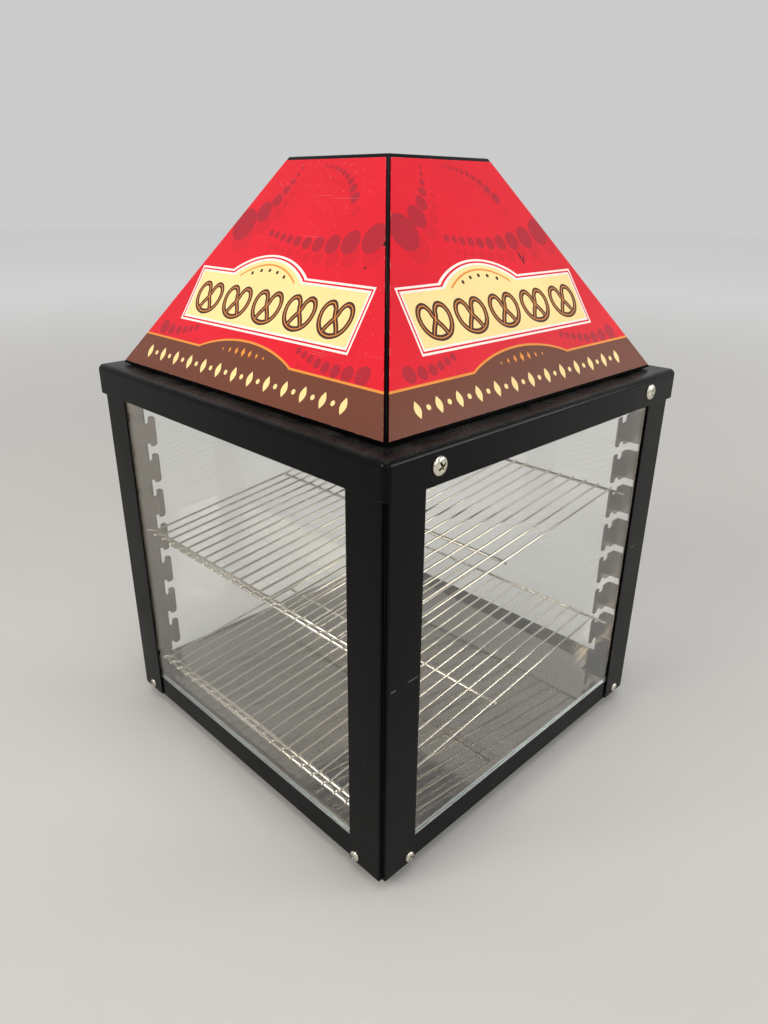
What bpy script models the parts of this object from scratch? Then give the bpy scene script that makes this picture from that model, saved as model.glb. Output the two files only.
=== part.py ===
"""Bakery display case: a square glazed cabinet on four corner posts, with two sloping wire racks, a rear
glass door and a tapered sign hood. Metres, +Z up, front at -Y, origin on the bench under the centre."""

from math import cos, pi, radians, sin

import bmesh
import bpy
from mathutils import Matrix, Vector

# Driving dimensions
WIDTH = 0.400  # across the posts, front and side alike
FOOT_H = 0.012
POST_H = 0.3715
STILE = 0.040  # a post's leg on a glazed face
REAR_STILE = 0.016  # a post's leg beside the door opening
SHEET = 0.0015
GROOVE = 0.0037  # re-entrant corner of each post
CLEAR = 0.0003  # gap between touching pieces

BASE_H = 0.0236
CAP_LOW = 0.347
CAP_TOP = 0.3756
CAP_OVERHANG = 0.0031
HOOD_LOW = 0.3788
HOOD_TOP = 0.5617
HOOD_HALF_LOW = 0.1834
HOOD_HALF_TOP = 0.0627
HOOD_WALL = 0.0012
SIGN_T = 0.0006

GLASS_T = 0.0032
DOOR_T = 0.0038
CHANNEL_H = 0.0014
CHANNEL_LIP_H = 0.0036
CHANNEL_T = 0.0011

BRACKET_T = 0.0012
BRACKET_X = 0.168  # outer face of the notched leg
BRACKET_SIDE_X = 0.1935
BRACKET_SIDE_LEG = 0.0293
BRACKET_H = 0.342
FRONT_WEB_Y = 0.1936
REAR_WEB_Y = 0.1920
FRONT_EDGE_Y = 0.1694
REAR_EDGE_Y = 0.1672
NOTCHES = 8
NOTCH_PITCH = 0.0395
FRONT_NOTCH_TOP = 0.3268  # heights of the highest notches above the posts' feet
REAR_NOTCH_TOP = 0.3300
MOUTH_H = 0.008
TAB_W = 0.007
SEAT_W = 0.0098
SEAT_DOWN = 0.0110
SEAT_UP = 0.0078
SLOT_END_X = 0.1800

RACK_ROD_R = 0.0017
RACK_WIRE_R = 0.0011
RACK_HALF_W = 0.1610
RACK_ROD_END_X = 0.1780
RACK_WIRES = 22
RACK_REAR_Y = 0.1770
RACK_MIDDLE_Y = -0.0060
RACK_BEND_Y = -0.1790
RACK_LIP_Y = -0.1872
RACK_LIP_RISE = 0.0030
RACK_LIP_OVERHANG = 0.0019  # the lip rod past the last wire
WIRE_TAIL = 0.0014
ROD_SEAT = 0.0088  # a rod's centre rests this far below its notch's centre

DOOR_HALF_W = 0.1828
DOOR_LOW = 0.030
DOOR_HIGH = 0.3455
HINGE_X = 0.1790
HINGE_Y = 0.1966
PIN_R = 0.0016
PIN_FIT = 0.0003

SCREW_SIDES = 12
POST_SCREW_Z = 0.007
CAP_SCREW_Y = 0.1510
CAP_SCREW_Z = 0.3612

HALF = WIDTH / 2
FACE = HALF - SHEET - CLEAR  # plane that the base and the panes stand in, just behind the posts
PANE_EDGE = HALF - GROOVE - SHEET - CLEAR

for leftover in list(bpy.data.objects):
    bpy.data.objects.remove(leftover, do_unlink=True)

scene_root = bpy.context.scene.collection
case = bpy.data.collections.new("bakery_display_case")
cutters = bpy.data.collections.new("cutters")
scene_root.children.link(case)
scene_root.children.link(cutters)
cutters.hide_render = True


def material(name, color, roughness, metallic=0.0, alpha=1.0):
    made = bpy.data.materials.new(name)
    made.use_nodes = True
    shader = made.node_tree.nodes["Principled BSDF"]
    shader.inputs["Base Color"].default_value = (*color, 1)
    shader.inputs["Roughness"].default_value = roughness
    shader.inputs["Metallic"].default_value = metallic
    shader.inputs["Alpha"].default_value = alpha
    made.diffuse_color = (*color, alpha)
    return made


BLACK = material("black_powder_coat", (0.012, 0.012, 0.013), 0.28)
STAINLESS = material("stainless", (0.56, 0.54, 0.50), 0.25, 1.0)
WIRE = material("rack_wire", (0.66, 0.63, 0.57), 0.22, 1.0)
ALUMINIUM = material("anodised_aluminium", (0.62, 0.63, 0.63), 0.35, 1.0)
SCREW = material("zinc_plate", (0.66, 0.65, 0.62), 0.3, 1.0)
GLASS = material("clear_glass", (0.86, 0.93, 0.90), 0.03, 0.0, 0.25)
SIGN = material("printed_vinyl", (0.78, 0.02, 0.04), 0.35)
RUBBER = material("foot_rubber", (0.02, 0.02, 0.02), 0.8)
MAGNET = material("magnet_case", (0.05, 0.05, 0.05), 0.5)


def add_object(name, data, finish, where=case):
    obj = bpy.data.objects.new(name, data)
    where.objects.link(obj)
    if finish:
        data.materials.clear()
        data.materials.append(finish)
    return obj


def mesh_object(name, bm, finish, where=case):
    """Takes over the bmesh, with its faces turned outwards."""
    bmesh.ops.recalc_face_normals(bm, faces=bm.faces)
    mesh = bpy.data.meshes.new(name)
    bm.to_mesh(mesh)
    bm.free()
    return add_object(name, mesh, finish, where)


def box_into(bm, low, high):
    size = Vector(high) - Vector(low)
    centre = (Vector(high) + Vector(low)) / 2
    stretch = Matrix.Translation(centre) @ Matrix.Diagonal((*size, 1))
    bmesh.ops.create_cube(bm, size=1, matrix=stretch)


def box(name, low, high, finish, where=case):
    bm = bmesh.new()
    box_into(bm, low, high)
    return mesh_object(name, bm, finish, where)


def cylinder_into(bm, start, end, radius, sides, end_radius=None):
    along = Vector(end) - Vector(start)
    turn = along.to_track_quat("Z", "Y").to_matrix().to_4x4()
    bmesh.ops.create_cone(
        bm, cap_ends=True, segments=sides, radius1=radius,
        radius2=radius if end_radius is None else end_radius, depth=along.length,
        matrix=Matrix.Translation((Vector(start) + Vector(end)) / 2) @ turn,
    )


def cylinder(name, start, end, radius, sides, finish, where=case, end_radius=None):
    bm = bmesh.new()
    cylinder_into(bm, start, end, radius, sides, end_radius)
    return smooth(mesh_object(name, bm, finish, where))


def smooth(obj):
    obj.data.shade_smooth()
    obj.data.set_sharp_from_angle(angle=radians(35))
    return obj


def bevel(obj, width, segments=2, angle=40):
    rounding = obj.modifiers.new("rounded_edges", "BEVEL")
    rounding.width = width
    rounding.segments = segments
    rounding.limit_method = "ANGLE"
    rounding.angle_limit = radians(angle)
    return obj


def boolean(obj, other, operation="DIFFERENCE"):
    step = obj.modifiers.new(operation.lower(), "BOOLEAN")
    step.operation = operation
    step.object = other
    step.solver = "EXACT"
    other.hide_render = True
    other.display_type = "WIRE"
    return obj


def extruded(name, outline, low, high, finish, where=case):
    """A flat outline in X and Y, carried up from low to high: a filled 2D curve made into a welded mesh."""
    curve = bpy.data.curves.new(name, "CURVE")
    curve.dimensions = "2D"
    curve.fill_mode = "BOTH"
    curve.extrude = (high - low) / 2
    spline = curve.splines.new("POLY")
    spline.points.add(len(outline) - 1)
    for point, (x, y) in zip(spline.points, outline):
        point.co = (x, y, 0, 1)
    spline.use_cyclic_u = True
    guide = bpy.data.objects.new(name + "_outline", curve)
    scene_root.objects.link(guide)
    mesh = bpy.data.meshes.new_from_object(guide.evaluated_get(bpy.context.evaluated_depsgraph_get()))
    bpy.data.objects.remove(guide, do_unlink=True)
    bpy.data.curves.remove(curve)
    bm = bmesh.new()
    bm.from_mesh(mesh)
    bpy.data.meshes.remove(mesh)
    bmesh.ops.remove_doubles(bm, verts=bm.verts, dist=1e-6)
    bmesh.ops.translate(bm, verts=bm.verts, vec=(0, 0, (low + high) / 2))
    return mesh_object(name, bm, finish, where)


def settled(obj):
    """The object with its modifiers applied, so that a mirrored copy of it can be taken."""
    graph = bpy.context.evaluated_depsgraph_get()
    mesh = bpy.data.meshes.new_from_object(obj.evaluated_get(graph))
    obj.modifiers.clear()
    obj.data = mesh
    return obj


def mirrored(obj, name, flip_x=1, flip_y=1):
    mesh = obj.data.copy()
    mesh.transform(Matrix.Diagonal((flip_x, flip_y, 1, 1)))
    if flip_x * flip_y < 0:
        mesh.flip_normals()
    return add_object(name, mesh, None)


def height(above_post_foot):
    return FOOT_H + above_post_foot


def arc(centre, radius, start, end, steps):
    """Points on an arc, in degrees, ends included."""
    turns = [radians(start + (end - start) * i / steps) for i in range(steps + 1)]
    return [(centre[0] + radius * cos(t), centre[1] + radius * sin(t)) for t in turns]


# ---- base ----

def open_tray(name, half, low, high, wall, finish):
    """A box of sheet metal, open underneath."""
    bm = bmesh.new()
    box_into(bm, (-half, -half, low), (half, half, high))
    bmesh.ops.recalc_face_normals(bm, faces=bm.faces)
    floor = [face for face in bm.faces if face.normal.z < -0.5]
    bmesh.ops.delete(bm, geom=floor, context="FACES_ONLY")
    mesh = bpy.data.meshes.new(name)
    bm.to_mesh(mesh)
    bm.free()
    tray = add_object(name, mesh, finish)
    skin = tray.modifiers.new("sheet", "SOLIDIFY")
    skin.thickness = wall
    skin.offset = -1
    skin.use_even_offset = True
    return tray


def corner_screws():
    """(name, point on the post's face, outward direction) of the screws that fix the posts to the base."""
    near, far = 0.0330, 0.0226
    z = height(POST_SCREW_Z)
    places = []
    for side, x_sign, inset in (("left", -1, far), ("right", 1, near)):
        places.append((f"{side}_front_post_screw", (x_sign * (HALF - inset), -HALF, z), (0, -1, 0)))
    for side, x_sign in (("left", -1), ("right", 1)):
        for end, y_sign, inset in (("front", -1, near), ("rear", 1, far)):
            where = (x_sign * HALF, y_sign * (HALF - inset), z)
            places.append((f"{side}_side_{end}_post_screw", where, (x_sign, 0, 0)))
    for side, x_sign in (("left", -1), ("right", 1)):
        where = (x_sign * (HALF - REAR_STILE / 2 - GROOVE / 2), HALF, z)
        places.append((f"{side}_rear_post_screw", where, (0, 1, 0)))
    return places


def cap_screws():
    out = HALF + CAP_OVERHANG
    return [
        (f"{side}_{end}_cap_screw", (x * out, y * CAP_SCREW_Y, height(CAP_SCREW_Z)), (x, 0, 0))
        for side, x in (("left", -1), ("right", 1))
        for end, y in (("front", -1), ("rear", 1))
    ]


def screw(name, seat, outward, head_r, head_h, shank_r, shank_l):
    """A domed head standing on its seat, and a plain shank behind it."""
    seat, outward = Vector(seat), Vector(outward)
    turn = outward.to_track_quat("Z", "Y").to_matrix().to_4x4()
    bm = bmesh.new()
    rings = [(shank_r, -shank_l), (shank_r, CLEAR), (head_r, CLEAR), (head_r, head_h * 0.35)]
    rings += [(head_r * cos(t), head_h * (0.35 + 0.65 * sin(t))) for t in (pi / 6, pi / 3)]
    turns = [2 * pi * k / SCREW_SIDES for k in range(SCREW_SIDES)]
    loops = []
    for radius, up in rings:
        loops.append([bm.verts.new((radius * cos(t), radius * sin(t), up)) for t in turns])
    for low_loop, high_loop in zip(loops, loops[1:]):
        for k in range(SCREW_SIDES):
            after = (k + 1) % SCREW_SIDES
            bm.faces.new((low_loop[k], low_loop[after], high_loop[after], high_loop[k]))
    bm.faces.new(loops[0][::-1])
    bm.faces.new(loops[-1])
    bmesh.ops.transform(bm, matrix=Matrix.Translation(seat) @ turn, verts=bm.verts)
    return smooth(mesh_object(name, bm, SCREW))


def drill(name, places, radius, depth):
    """One cutter for a row of screw holes, each from just outside its seat to past the sheets behind."""
    bm = bmesh.new()
    for _, seat, outward in places:
        seat, outward = Vector(seat), Vector(outward)
        cylinder_into(bm, seat + outward * 0.004, seat - outward * depth, radius, SCREW_SIDES)
    return mesh_object(name, bm, None, cutters)


POST_SHANK_R = 0.0018
POST_SHANK_L = 0.0072
CAP_SHANK_R = 0.0028
CAP_SHANK_L = 0.0088
post_holes = drill("post_screw_holes", corner_screws(), POST_SHANK_R + 0.0002, POST_SHANK_L + 0.002)
cap_holes = drill("cap_screw_holes", cap_screws(), CAP_SHANK_R + 0.0002, CAP_SHANK_L + 0.002)

base_pan = boolean(open_tray("base_pan", FACE, height(0), height(BASE_H), SHEET, BLACK), post_holes)
bm = bmesh.new()
for x_sign in (-1, 1):
    for y_sign in (-1, 1):
        x_low, x_high = sorted((x_sign * PANE_EDGE, x_sign * (HALF + 0.01)))
        y_low, y_high = sorted((y_sign * PANE_EDGE, y_sign * (HALF + 0.01)))
        box_into(bm, (x_low, y_low, height(-0.01)), (x_high, y_high, height(POST_H + 0.01)))
corner_notches = mesh_object("corner_notches", bm, None, cutters)
boolean(base_pan, corner_notches)

FRAME_LOW = 0.3530
FRAME_HIGH = 0.3736
FRAME_FLANGE = 0.0160


def centred_box(name, half, low, high, finish, where=case):
    return box(name, (-half, -half, height(low)), (half, half, height(high)), finish, where)


top_frame = centred_box("top_frame", FACE, FRAME_LOW, FRAME_HIGH, BLACK)
frame_hollow = centred_box(
    "top_frame_hollow", FACE - SHEET, FRAME_LOW - 0.01, FRAME_HIGH - SHEET, None, cutters
)
frame_opening = centred_box(
    "top_frame_opening", FACE - FRAME_FLANGE, FRAME_LOW - 0.02, FRAME_HIGH + 0.01, None, cutters
)
for cut in (frame_hollow, frame_opening, corner_notches, cap_holes):
    boolean(top_frame, cut)
BOTTOM_PLATE_IN = 0.0105
centred_box("base_bottom_plate", FACE - BOTTOM_PLATE_IN, 0.0002, 0.0014, STAINLESS)
FOOT_IN = 0.034
FOOT_LOW_R = 0.0085
FOOT_HIGH_R = 0.0105

for side, x_sign in (("left", -1), ("right", 1)):
    for end, y_sign in (("front", -1), ("rear", 1)):
        x, y = x_sign * (HALF - FOOT_IN), y_sign * (HALF - FOOT_IN)
        cylinder(
            f"{end}_{side}_foot", (x, y, 0), (x, y, height(-0.0001)), FOOT_LOW_R, 20, RUBBER,
            end_radius=FOOT_HIGH_R,
        )


# ---- posts ----

def post_outline(leg_x, leg_y):
    """Folded sheet seen from above, for the corner at +X +Y, with a re-entrant groove at the corner."""
    lip = 0.0009
    out, groove, inner = HALF, HALF - GROOVE, HALF - GROOVE - SHEET
    x_edge, y_edge = HALF - leg_x, HALF - leg_y
    back = out - SHEET
    points = [(x_edge, out), (x_edge, back), (inner, back), (inner, inner), (back, inner), (back, y_edge)]
    points += [(out, y_edge)]
    points += arc((out - lip, groove - lip), lip, 0, 90, 3)
    points += [(groove, groove)]
    points += arc((groove - lip, out - lip), lip, 0, 90, 3)
    return points


def post(name, leg_x, leg_y):
    return extruded(name, post_outline(leg_x, leg_y), height(0), height(POST_H), BLACK)


rear_right_post = post("rear_right_post", REAR_STILE, STILE)
rear_left_post = mirrored(rear_right_post, "rear_left_post", flip_x=-1)
front_right_post = mirrored(post("front_post_pattern", STILE, STILE), "front_right_post", flip_y=-1)
front_left_post = mirrored(front_right_post, "front_left_post", flip_x=-1)
bpy.data.objects.remove(bpy.data.objects["front_post_pattern"], do_unlink=True)
for corner_post in (rear_right_post, rear_left_post, front_right_post, front_left_post):
    boolean(boolean(corner_post, post_holes), cap_holes)


# ---- floor, glass and glazing channels ----

FLOOR_LOW = BASE_H + CLEAR
FLOOR_T = 0.0010
FLOOR_HALF = 0.1640
FLOOR_FRONT_Y = -0.1925
FLOOR_LIP_Y = 0.1905
FLOOR_LIP_H = 0.0105
WING_FRONT_Y = -0.1625  # the wings fill in between the brackets' side legs
WING_REAR_Y = 0.1585

bm = bmesh.new()
floor_low, floor_high = height(FLOOR_LOW), height(FLOOR_LOW + FLOOR_T)
box_into(bm, (-FLOOR_HALF, FLOOR_FRONT_Y, floor_low), (FLOOR_HALF, FLOOR_LIP_Y, floor_high))
floor_pan = mesh_object("floor_pan", bm, STAINLESS)
bm = bmesh.new()
box_into(
    bm, (-FLOOR_HALF + 0.0001, FLOOR_LIP_Y - FLOOR_T, height(FLOOR_LOW + FLOOR_T / 2)),
    (FLOOR_HALF - 0.0001, FLOOR_LIP_Y - 0.0001, height(FLOOR_LOW + FLOOR_LIP_H)),
)
for x in (-1, 1):
    inner, outer = sorted((x * (FLOOR_HALF - 0.001), x * (BRACKET_SIDE_X - 0.0005)))
    box_into(bm, (inner, WING_FRONT_Y, floor_low + 0.0001), (outer, WING_REAR_Y, floor_high - 0.0001))
boolean(floor_pan, mesh_object("floor_pan_wings", bm, None, cutters), "UNION")

PANE_LOW = BASE_H + CLEAR + CHANNEL_H + CLEAR
PANE_HIGH = 0.3520  # just under the top frame
pane_low, pane_high, pane_back = height(PANE_LOW), height(PANE_HIGH), FACE - GLASS_T
for name, low, high in (
    ("front_glass", (-PANE_EDGE, -FACE, pane_low), (PANE_EDGE, -pane_back, pane_high)),
    ("right_glass", (pane_back, -PANE_EDGE, pane_low), (FACE, PANE_EDGE, pane_high)),
    ("left_glass", (-FACE, -PANE_EDGE, pane_low), (-pane_back, PANE_EDGE, pane_high)),
):
    bevel(box(name, low, high, GLASS), 0.0004, 1)


def channel_outline():
    """Cross-section of a glazing channel: it carries the pane and holds its inner face."""
    wall = CLEAR + GLASS_T + CHANNEL_T
    return [(0, 0), (wall, 0), (wall, CHANNEL_LIP_H), (wall - CHANNEL_T, CHANNEL_LIP_H),
            (wall - CHANNEL_T, CHANNEL_H), (0, CHANNEL_H)]


def channel(name, length, middle, turn):
    """A glazing channel along one side of the base, its outer face in the panes' plane."""
    bar = extruded(name, channel_outline(), -length / 2, length / 2, ALUMINIUM)
    lay = Matrix.Rotation(turn, 4, "Z") @ Matrix(((1, 0, 0, 0), (0, 0, 1, 0), (0, 1, 0, 0), (0, 0, 0, 1)))
    bar.data.transform(Matrix.Translation((*middle, height(BASE_H + CLEAR))) @ lay)
    bar.data.flip_normals()
    return bar


SIDE_CHANNEL_L = 2 * (PANE_EDGE - GLASS_T - CHANNEL_T - 3 * CLEAR)
channel("left_glazing_channel", SIDE_CHANNEL_L, (-FACE, 0), 0)
channel("right_glazing_channel", SIDE_CHANNEL_L, (FACE, 0), pi)
channel("front_glazing_channel", 2 * PANE_EDGE, (0, -FACE), pi / 2)


# ---- rack brackets ----

def bracket_outline(edge_y, web_y):
    """The folded strip seen from above, at the +X +Y corner: side leg, web and notched leg."""
    inner, side_inner = BRACKET_X - BRACKET_T, BRACKET_SIDE_X - BRACKET_T
    web_inner, leg_end = web_y - BRACKET_T, web_y - BRACKET_SIDE_LEG
    return [
        (inner, edge_y), (BRACKET_X, edge_y), (BRACKET_X, web_inner), (side_inner, web_inner),
        (side_inner, leg_end), (BRACKET_SIDE_X, leg_end), (BRACKET_SIDE_X, web_y), (inner, web_y),
    ]


def notch_outline(edge_y, web_y):
    """What a notch takes out of the notched leg, in Y and height from the notch's centre."""
    mouth, tab_end = MOUTH_H / 2, 0.0022
    near, far = edge_y + TAB_W, edge_y + TAB_W + SEAT_W
    beyond = web_y + 0.004
    upper = [(edge_y - 0.004, mouth + tab_end), (edge_y - 0.0001, mouth + tab_end)]
    upper += [(edge_y + tab_end, mouth)]
    upper += [(near - 0.0022, mouth + 0.0003), (near, mouth + 0.003)]
    upper += arc((near + 0.0026, SEAT_UP - 0.0026), 0.0026, 180, 90, 2)
    upper += [(far - 0.0030, SEAT_UP), (far, mouth + 0.0012), (far + 0.0022, mouth), (beyond, mouth)]
    lower = [(beyond, -mouth), (far + 0.0022, -mouth), (far, -mouth - 0.0016)]
    lower += [(far - 0.0016, -SEAT_DOWN + 0.0030)]
    lower += arc((near + 0.0028, -SEAT_DOWN + 0.0028), 0.0028, -60, -180, 3)
    lower += [(near, -mouth - 0.0026), (near - 0.0020, -mouth), (edge_y + tab_end, -mouth)]
    lower += [(edge_y - 0.0001, -mouth - tab_end), (edge_y - 0.004, -mouth - tab_end)]
    return upper + lower


def notch_height(top, number):
    return height(top - NOTCH_PITCH * (number - 1))


def bracket(name, edge_y, web_y, notch_top):
    foot, head = height(FLOOR_LOW + 0.0002), height(BRACKET_H)
    made = extruded(name, bracket_outline(edge_y, web_y), foot, head, STAINLESS)
    notch = extruded(name + "_notch", notch_outline(edge_y, web_y), -0.006, 0.0004, None, cutters)
    notch.data.transform(Matrix(((0, 0, 1, BRACKET_X), (1, 0, 0, 0), (0, 1, 0, 0), (0, 0, 0, 1))))
    pattern = bmesh.new()
    pattern.from_mesh(notch.data)
    bpy.data.objects.remove(notch, do_unlink=True)
    leg_cuts, web_cuts = bmesh.new(), bmesh.new()
    for number in range(1, NOTCHES + 1):
        z = notch_height(notch_top, number)
        one = bpy.data.meshes.new("one_notch")
        pattern.to_mesh(one)
        one.transform(Matrix.Translation((0, 0, z)))
        leg_cuts.from_mesh(one)
        bpy.data.meshes.remove(one)
        low = (BRACKET_X - 0.0001, web_y - 0.005, z - MOUTH_H / 2)
        box_into(web_cuts, low, (SLOT_END_X, web_y + 0.005, z + MOUTH_H / 2))
    pattern.free()
    boolean(made, mesh_object(name + "_leg_notches", leg_cuts, None, cutters))
    boolean(made, mesh_object(name + "_web_slots", web_cuts, None, cutters))
    return settled(made)


rear_right_bracket = bracket("rear_right_rack_bracket", REAR_EDGE_Y, REAR_WEB_Y, REAR_NOTCH_TOP)
mirrored(rear_right_bracket, "rear_left_rack_bracket", flip_x=-1)
front_pattern = bracket("front_bracket_pattern", FRONT_EDGE_Y, FRONT_WEB_Y, FRONT_NOTCH_TOP)
mirrored(front_pattern, "front_right_rack_bracket", flip_y=-1)
mirrored(front_pattern, "front_left_rack_bracket", flip_x=-1, flip_y=-1)
bpy.data.objects.remove(front_pattern, do_unlink=True)


# ---- wire racks ----

def rack(name, rear_notch, front_notch):
    """Rods across the case, and wires laid over them from the rear rod to the lip at the front."""
    rear_z = notch_height(REAR_NOTCH_TOP, rear_notch) - ROD_SEAT
    bend_z = notch_height(FRONT_NOTCH_TOP, front_notch) - ROD_SEAT
    slope = (rear_z - bend_z) / (RACK_REAR_Y - RACK_BEND_Y)
    middle_z = bend_z + slope * (RACK_MIDDLE_Y - RACK_BEND_Y)
    lip_z = bend_z + RACK_LIP_RISE
    rods = bmesh.new()
    for y, z, end in (
        (RACK_REAR_Y, rear_z, RACK_ROD_END_X), (RACK_BEND_Y, bend_z, RACK_ROD_END_X),
        (RACK_MIDDLE_Y, middle_z, RACK_HALF_W + RACK_WIRE_R),
        (RACK_LIP_Y, lip_z, RACK_HALF_W + RACK_LIP_OVERHANG),
    ):
        cylinder_into(rods, (-end, y, z), (end, y, z), RACK_ROD_R, 6)
    made = mesh_object(name, rods, WIRE)
    lift = RACK_ROD_R + RACK_WIRE_R * 0.35
    side = RACK_WIRE_R * 0.92
    tail_y = RACK_REAR_Y + WIRE_TAIL
    profile = [
        (tail_y, rear_z + slope * WIRE_TAIL + lift), (RACK_BEND_Y, bend_z + lift),
        (RACK_LIP_Y - 0.0012, lip_z + lift),
    ]
    outline = [(y, z + side) for y, z in profile] + [(y, z - side) for y, z in reversed(profile)]
    blade = extruded(name + "_wire", outline, -side, side, None, cutters)
    blade.data.transform(Matrix(((0, 0, 1, 0), (1, 0, 0, 0), (0, 1, 0, 0), (0, 0, 0, 1))))
    wires = bmesh.new()
    for i in range(RACK_WIRES):
        x = -RACK_HALF_W + 2 * RACK_HALF_W * i / (RACK_WIRES - 1)
        one = blade.data.copy()
        one.transform(Matrix.Translation((x, 0, 0)))
        wires.from_mesh(one)
        bpy.data.meshes.remove(one)
    bpy.data.objects.remove(blade, do_unlink=True)
    return boolean(made, mesh_object(name + "_wires", wires, None, cutters), "UNION")


rack("upper_rack", rear_notch=3, front_notch=4)
rack("lower_rack", rear_notch=7, front_notch=8)


# ---- top cap and hood ----

CAP_HALF = HALF + CAP_OVERHANG
bm = bmesh.new()
box_into(bm, (-CAP_HALF, -CAP_HALF, height(CAP_LOW)), (CAP_HALF, CAP_HALF, height(CAP_TOP)))
bmesh.ops.recalc_face_normals(bm, faces=bm.faces)
bmesh.ops.delete(bm, geom=[face for face in bm.faces if face.normal.z < -0.5], context="FACES_ONLY")
rim = [edge for edge in bm.edges if not edge.is_boundary]
bmesh.ops.bevel(bm, geom=rim, offset=0.0055, segments=4, profile=0.5, affect="EDGES")
cap_mesh = bpy.data.meshes.new("top_cap")
bm.to_mesh(cap_mesh)
bm.free()
top_cap = smooth(add_object("top_cap", cap_mesh, BLACK))
cap_sheet = top_cap.modifiers.new("sheet", "SOLIDIFY")
cap_sheet.thickness = SHEET
cap_sheet.offset = -1
boolean(top_cap, cap_holes)


def frustum_into(bm, half_low, half_high, low, high):
    """A four-sided taper: a cone of four sides, whose corners start on the axes."""
    place = Matrix.Translation((0, 0, (low + high) / 2)) @ Matrix.Rotation(pi / 4, 4, "Z")
    bmesh.ops.create_cone(
        bm, cap_ends=True, segments=4, radius1=half_low * 2 ** 0.5, radius2=half_high * 2 ** 0.5,
        depth=high - low, matrix=place,
    )


RISER_HALF = HOOD_HALF_LOW - 0.0040
RISER_OPENING_HALF = HOOD_HALF_LOW - 0.0220
hood_riser = centred_box("hood_riser", RISER_HALF, CAP_TOP + CLEAR, HOOD_LOW - CLEAR, BLACK)
boolean(
    hood_riser,
    centred_box("hood_riser_opening", RISER_OPENING_HALF, CAP_TOP - 0.01, HOOD_LOW + 0.01, None, cutters),
)

bm = bmesh.new()
frustum_into(bm, HOOD_HALF_LOW, HOOD_HALF_TOP, height(HOOD_LOW), height(HOOD_TOP))
bmesh.ops.recalc_face_normals(bm, faces=bm.faces)
bmesh.ops.delete(bm, geom=[face for face in bm.faces if face.normal.z < -0.9], context="FACES_ONLY")
hood_mesh = bpy.data.meshes.new("hood_shell")
bm.to_mesh(hood_mesh)
bm.free()
hood_shell = add_object("hood_shell", hood_mesh, BLACK)
hood_sheet = hood_shell.modifiers.new("sheet", "SOLIDIFY")
hood_sheet.thickness = HOOD_WALL
hood_sheet.offset = -1
hood_sheet.use_even_offset = True


def sign_panel(name, turn):
    """A thin printed skin on one slope of the hood, short of the slope's edges all round."""
    rise, run = HOOD_TOP - HOOD_LOW, HOOD_HALF_LOW - HOOD_HALF_TOP
    slant = (rise ** 2 + run ** 2) ** 0.5
    low_in, high_in, side_in = 0.0020, 0.0040, 0.0022

    def half_at(distance):
        return HOOD_HALF_LOW - run * distance / slant - side_in

    low_half, high_half = half_at(low_in), half_at(slant - high_in)
    top_edge = slant - high_in
    outline = [(-low_half, low_in), (low_half, low_in), (high_half, top_edge), (-high_half, top_edge)]
    panel = extruded(name, outline, CLEAR, CLEAR + SIGN_T, SIGN)
    up_slope = Vector((0, run / slant, rise / slant))
    outward = Vector((0, -rise / slant, run / slant))
    stand = Matrix((
        (1, up_slope.x, outward.x, 0), (0, up_slope.y, outward.y, -HOOD_HALF_LOW),
        (0, up_slope.z, outward.z, height(HOOD_LOW)), (0, 0, 0, 1),
    ))
    panel.data.transform(Matrix.Rotation(turn, 4, "Z") @ stand)
    return panel


for face_name, quarter in (("front", 0), ("right", 1), ("rear", 2), ("left", 3)):
    sign_panel(f"{face_name}_sign_panel", quarter * pi / 2)


# ---- rear door ----

CLIP_W = 0.0150
CLIP_H = 0.0220
CLIP_WALL = 0.0011
CLIP_OUT = HINGE_X + 0.0028  # its corners turn clear of the rack bracket
DOOR_FRONT = HINGE_Y - DOOR_T / 2
DOOR_BACK = HINGE_Y + DOOR_T / 2
CORNER_CUT_W = 0.0085
CORNER_CUT_H = 0.0120

door = box(
    "door_glass", (-DOOR_HALF_W, DOOR_FRONT, height(DOOR_LOW)),
    (DOOR_HALF_W, DOOR_BACK, height(DOOR_HIGH)), GLASS,
)
bm = bmesh.new()
for low, high in (
    (DOOR_LOW - 0.005, DOOR_LOW + CORNER_CUT_H), (DOOR_HIGH - CORNER_CUT_H, DOOR_HIGH + 0.005),
):
    box_into(
        bm, (DOOR_HALF_W - CORNER_CUT_W, DOOR_FRONT - 0.005, height(low)),
        (DOOR_HALF_W + 0.005, DOOR_BACK + 0.005, height(high)),
    )
boolean(door, mesh_object("door_corner_cuts", bm, None, cutters))


def hinge_clip(name, block_low, block_high, jaw_low, jaw_high, bore_low, bore_high):
    """A clip on a corner of the door glass: a block that turns on the pin, and two jaws on the pane."""
    reach = DOOR_HALF_W - CORNER_CUT_W + CLEAR
    front, back = DOOR_FRONT - CLEAR - CLIP_WALL, DOOR_BACK + CLEAR + CLIP_WALL
    bm = bmesh.new()
    box_into(bm, (reach, front, height(block_low)), (CLIP_OUT, back, height(block_high)))
    clip = mesh_object(name, bm, STAINLESS)
    jaws = bmesh.new()
    for near_y, far_y in ((front + 0.0001, front + CLIP_WALL), (back - CLIP_WALL, back - 0.0001)):
        jaw_out = CLIP_OUT - 0.0002
        box_into(jaws, (reach - CLIP_W, near_y, height(jaw_low)), (jaw_out, far_y, height(jaw_high)))
    boolean(clip, mesh_object(name + "_jaws", jaws, None, cutters), "UNION")
    bore = cylinder(
        name + "_bore", (HINGE_X, HINGE_Y, height(bore_low)), (HINGE_X, HINGE_Y, height(bore_high)),
        PIN_R + PIN_FIT, SCREW_SIDES, None, cutters,
    )
    return boolean(clip, bore)


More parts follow.
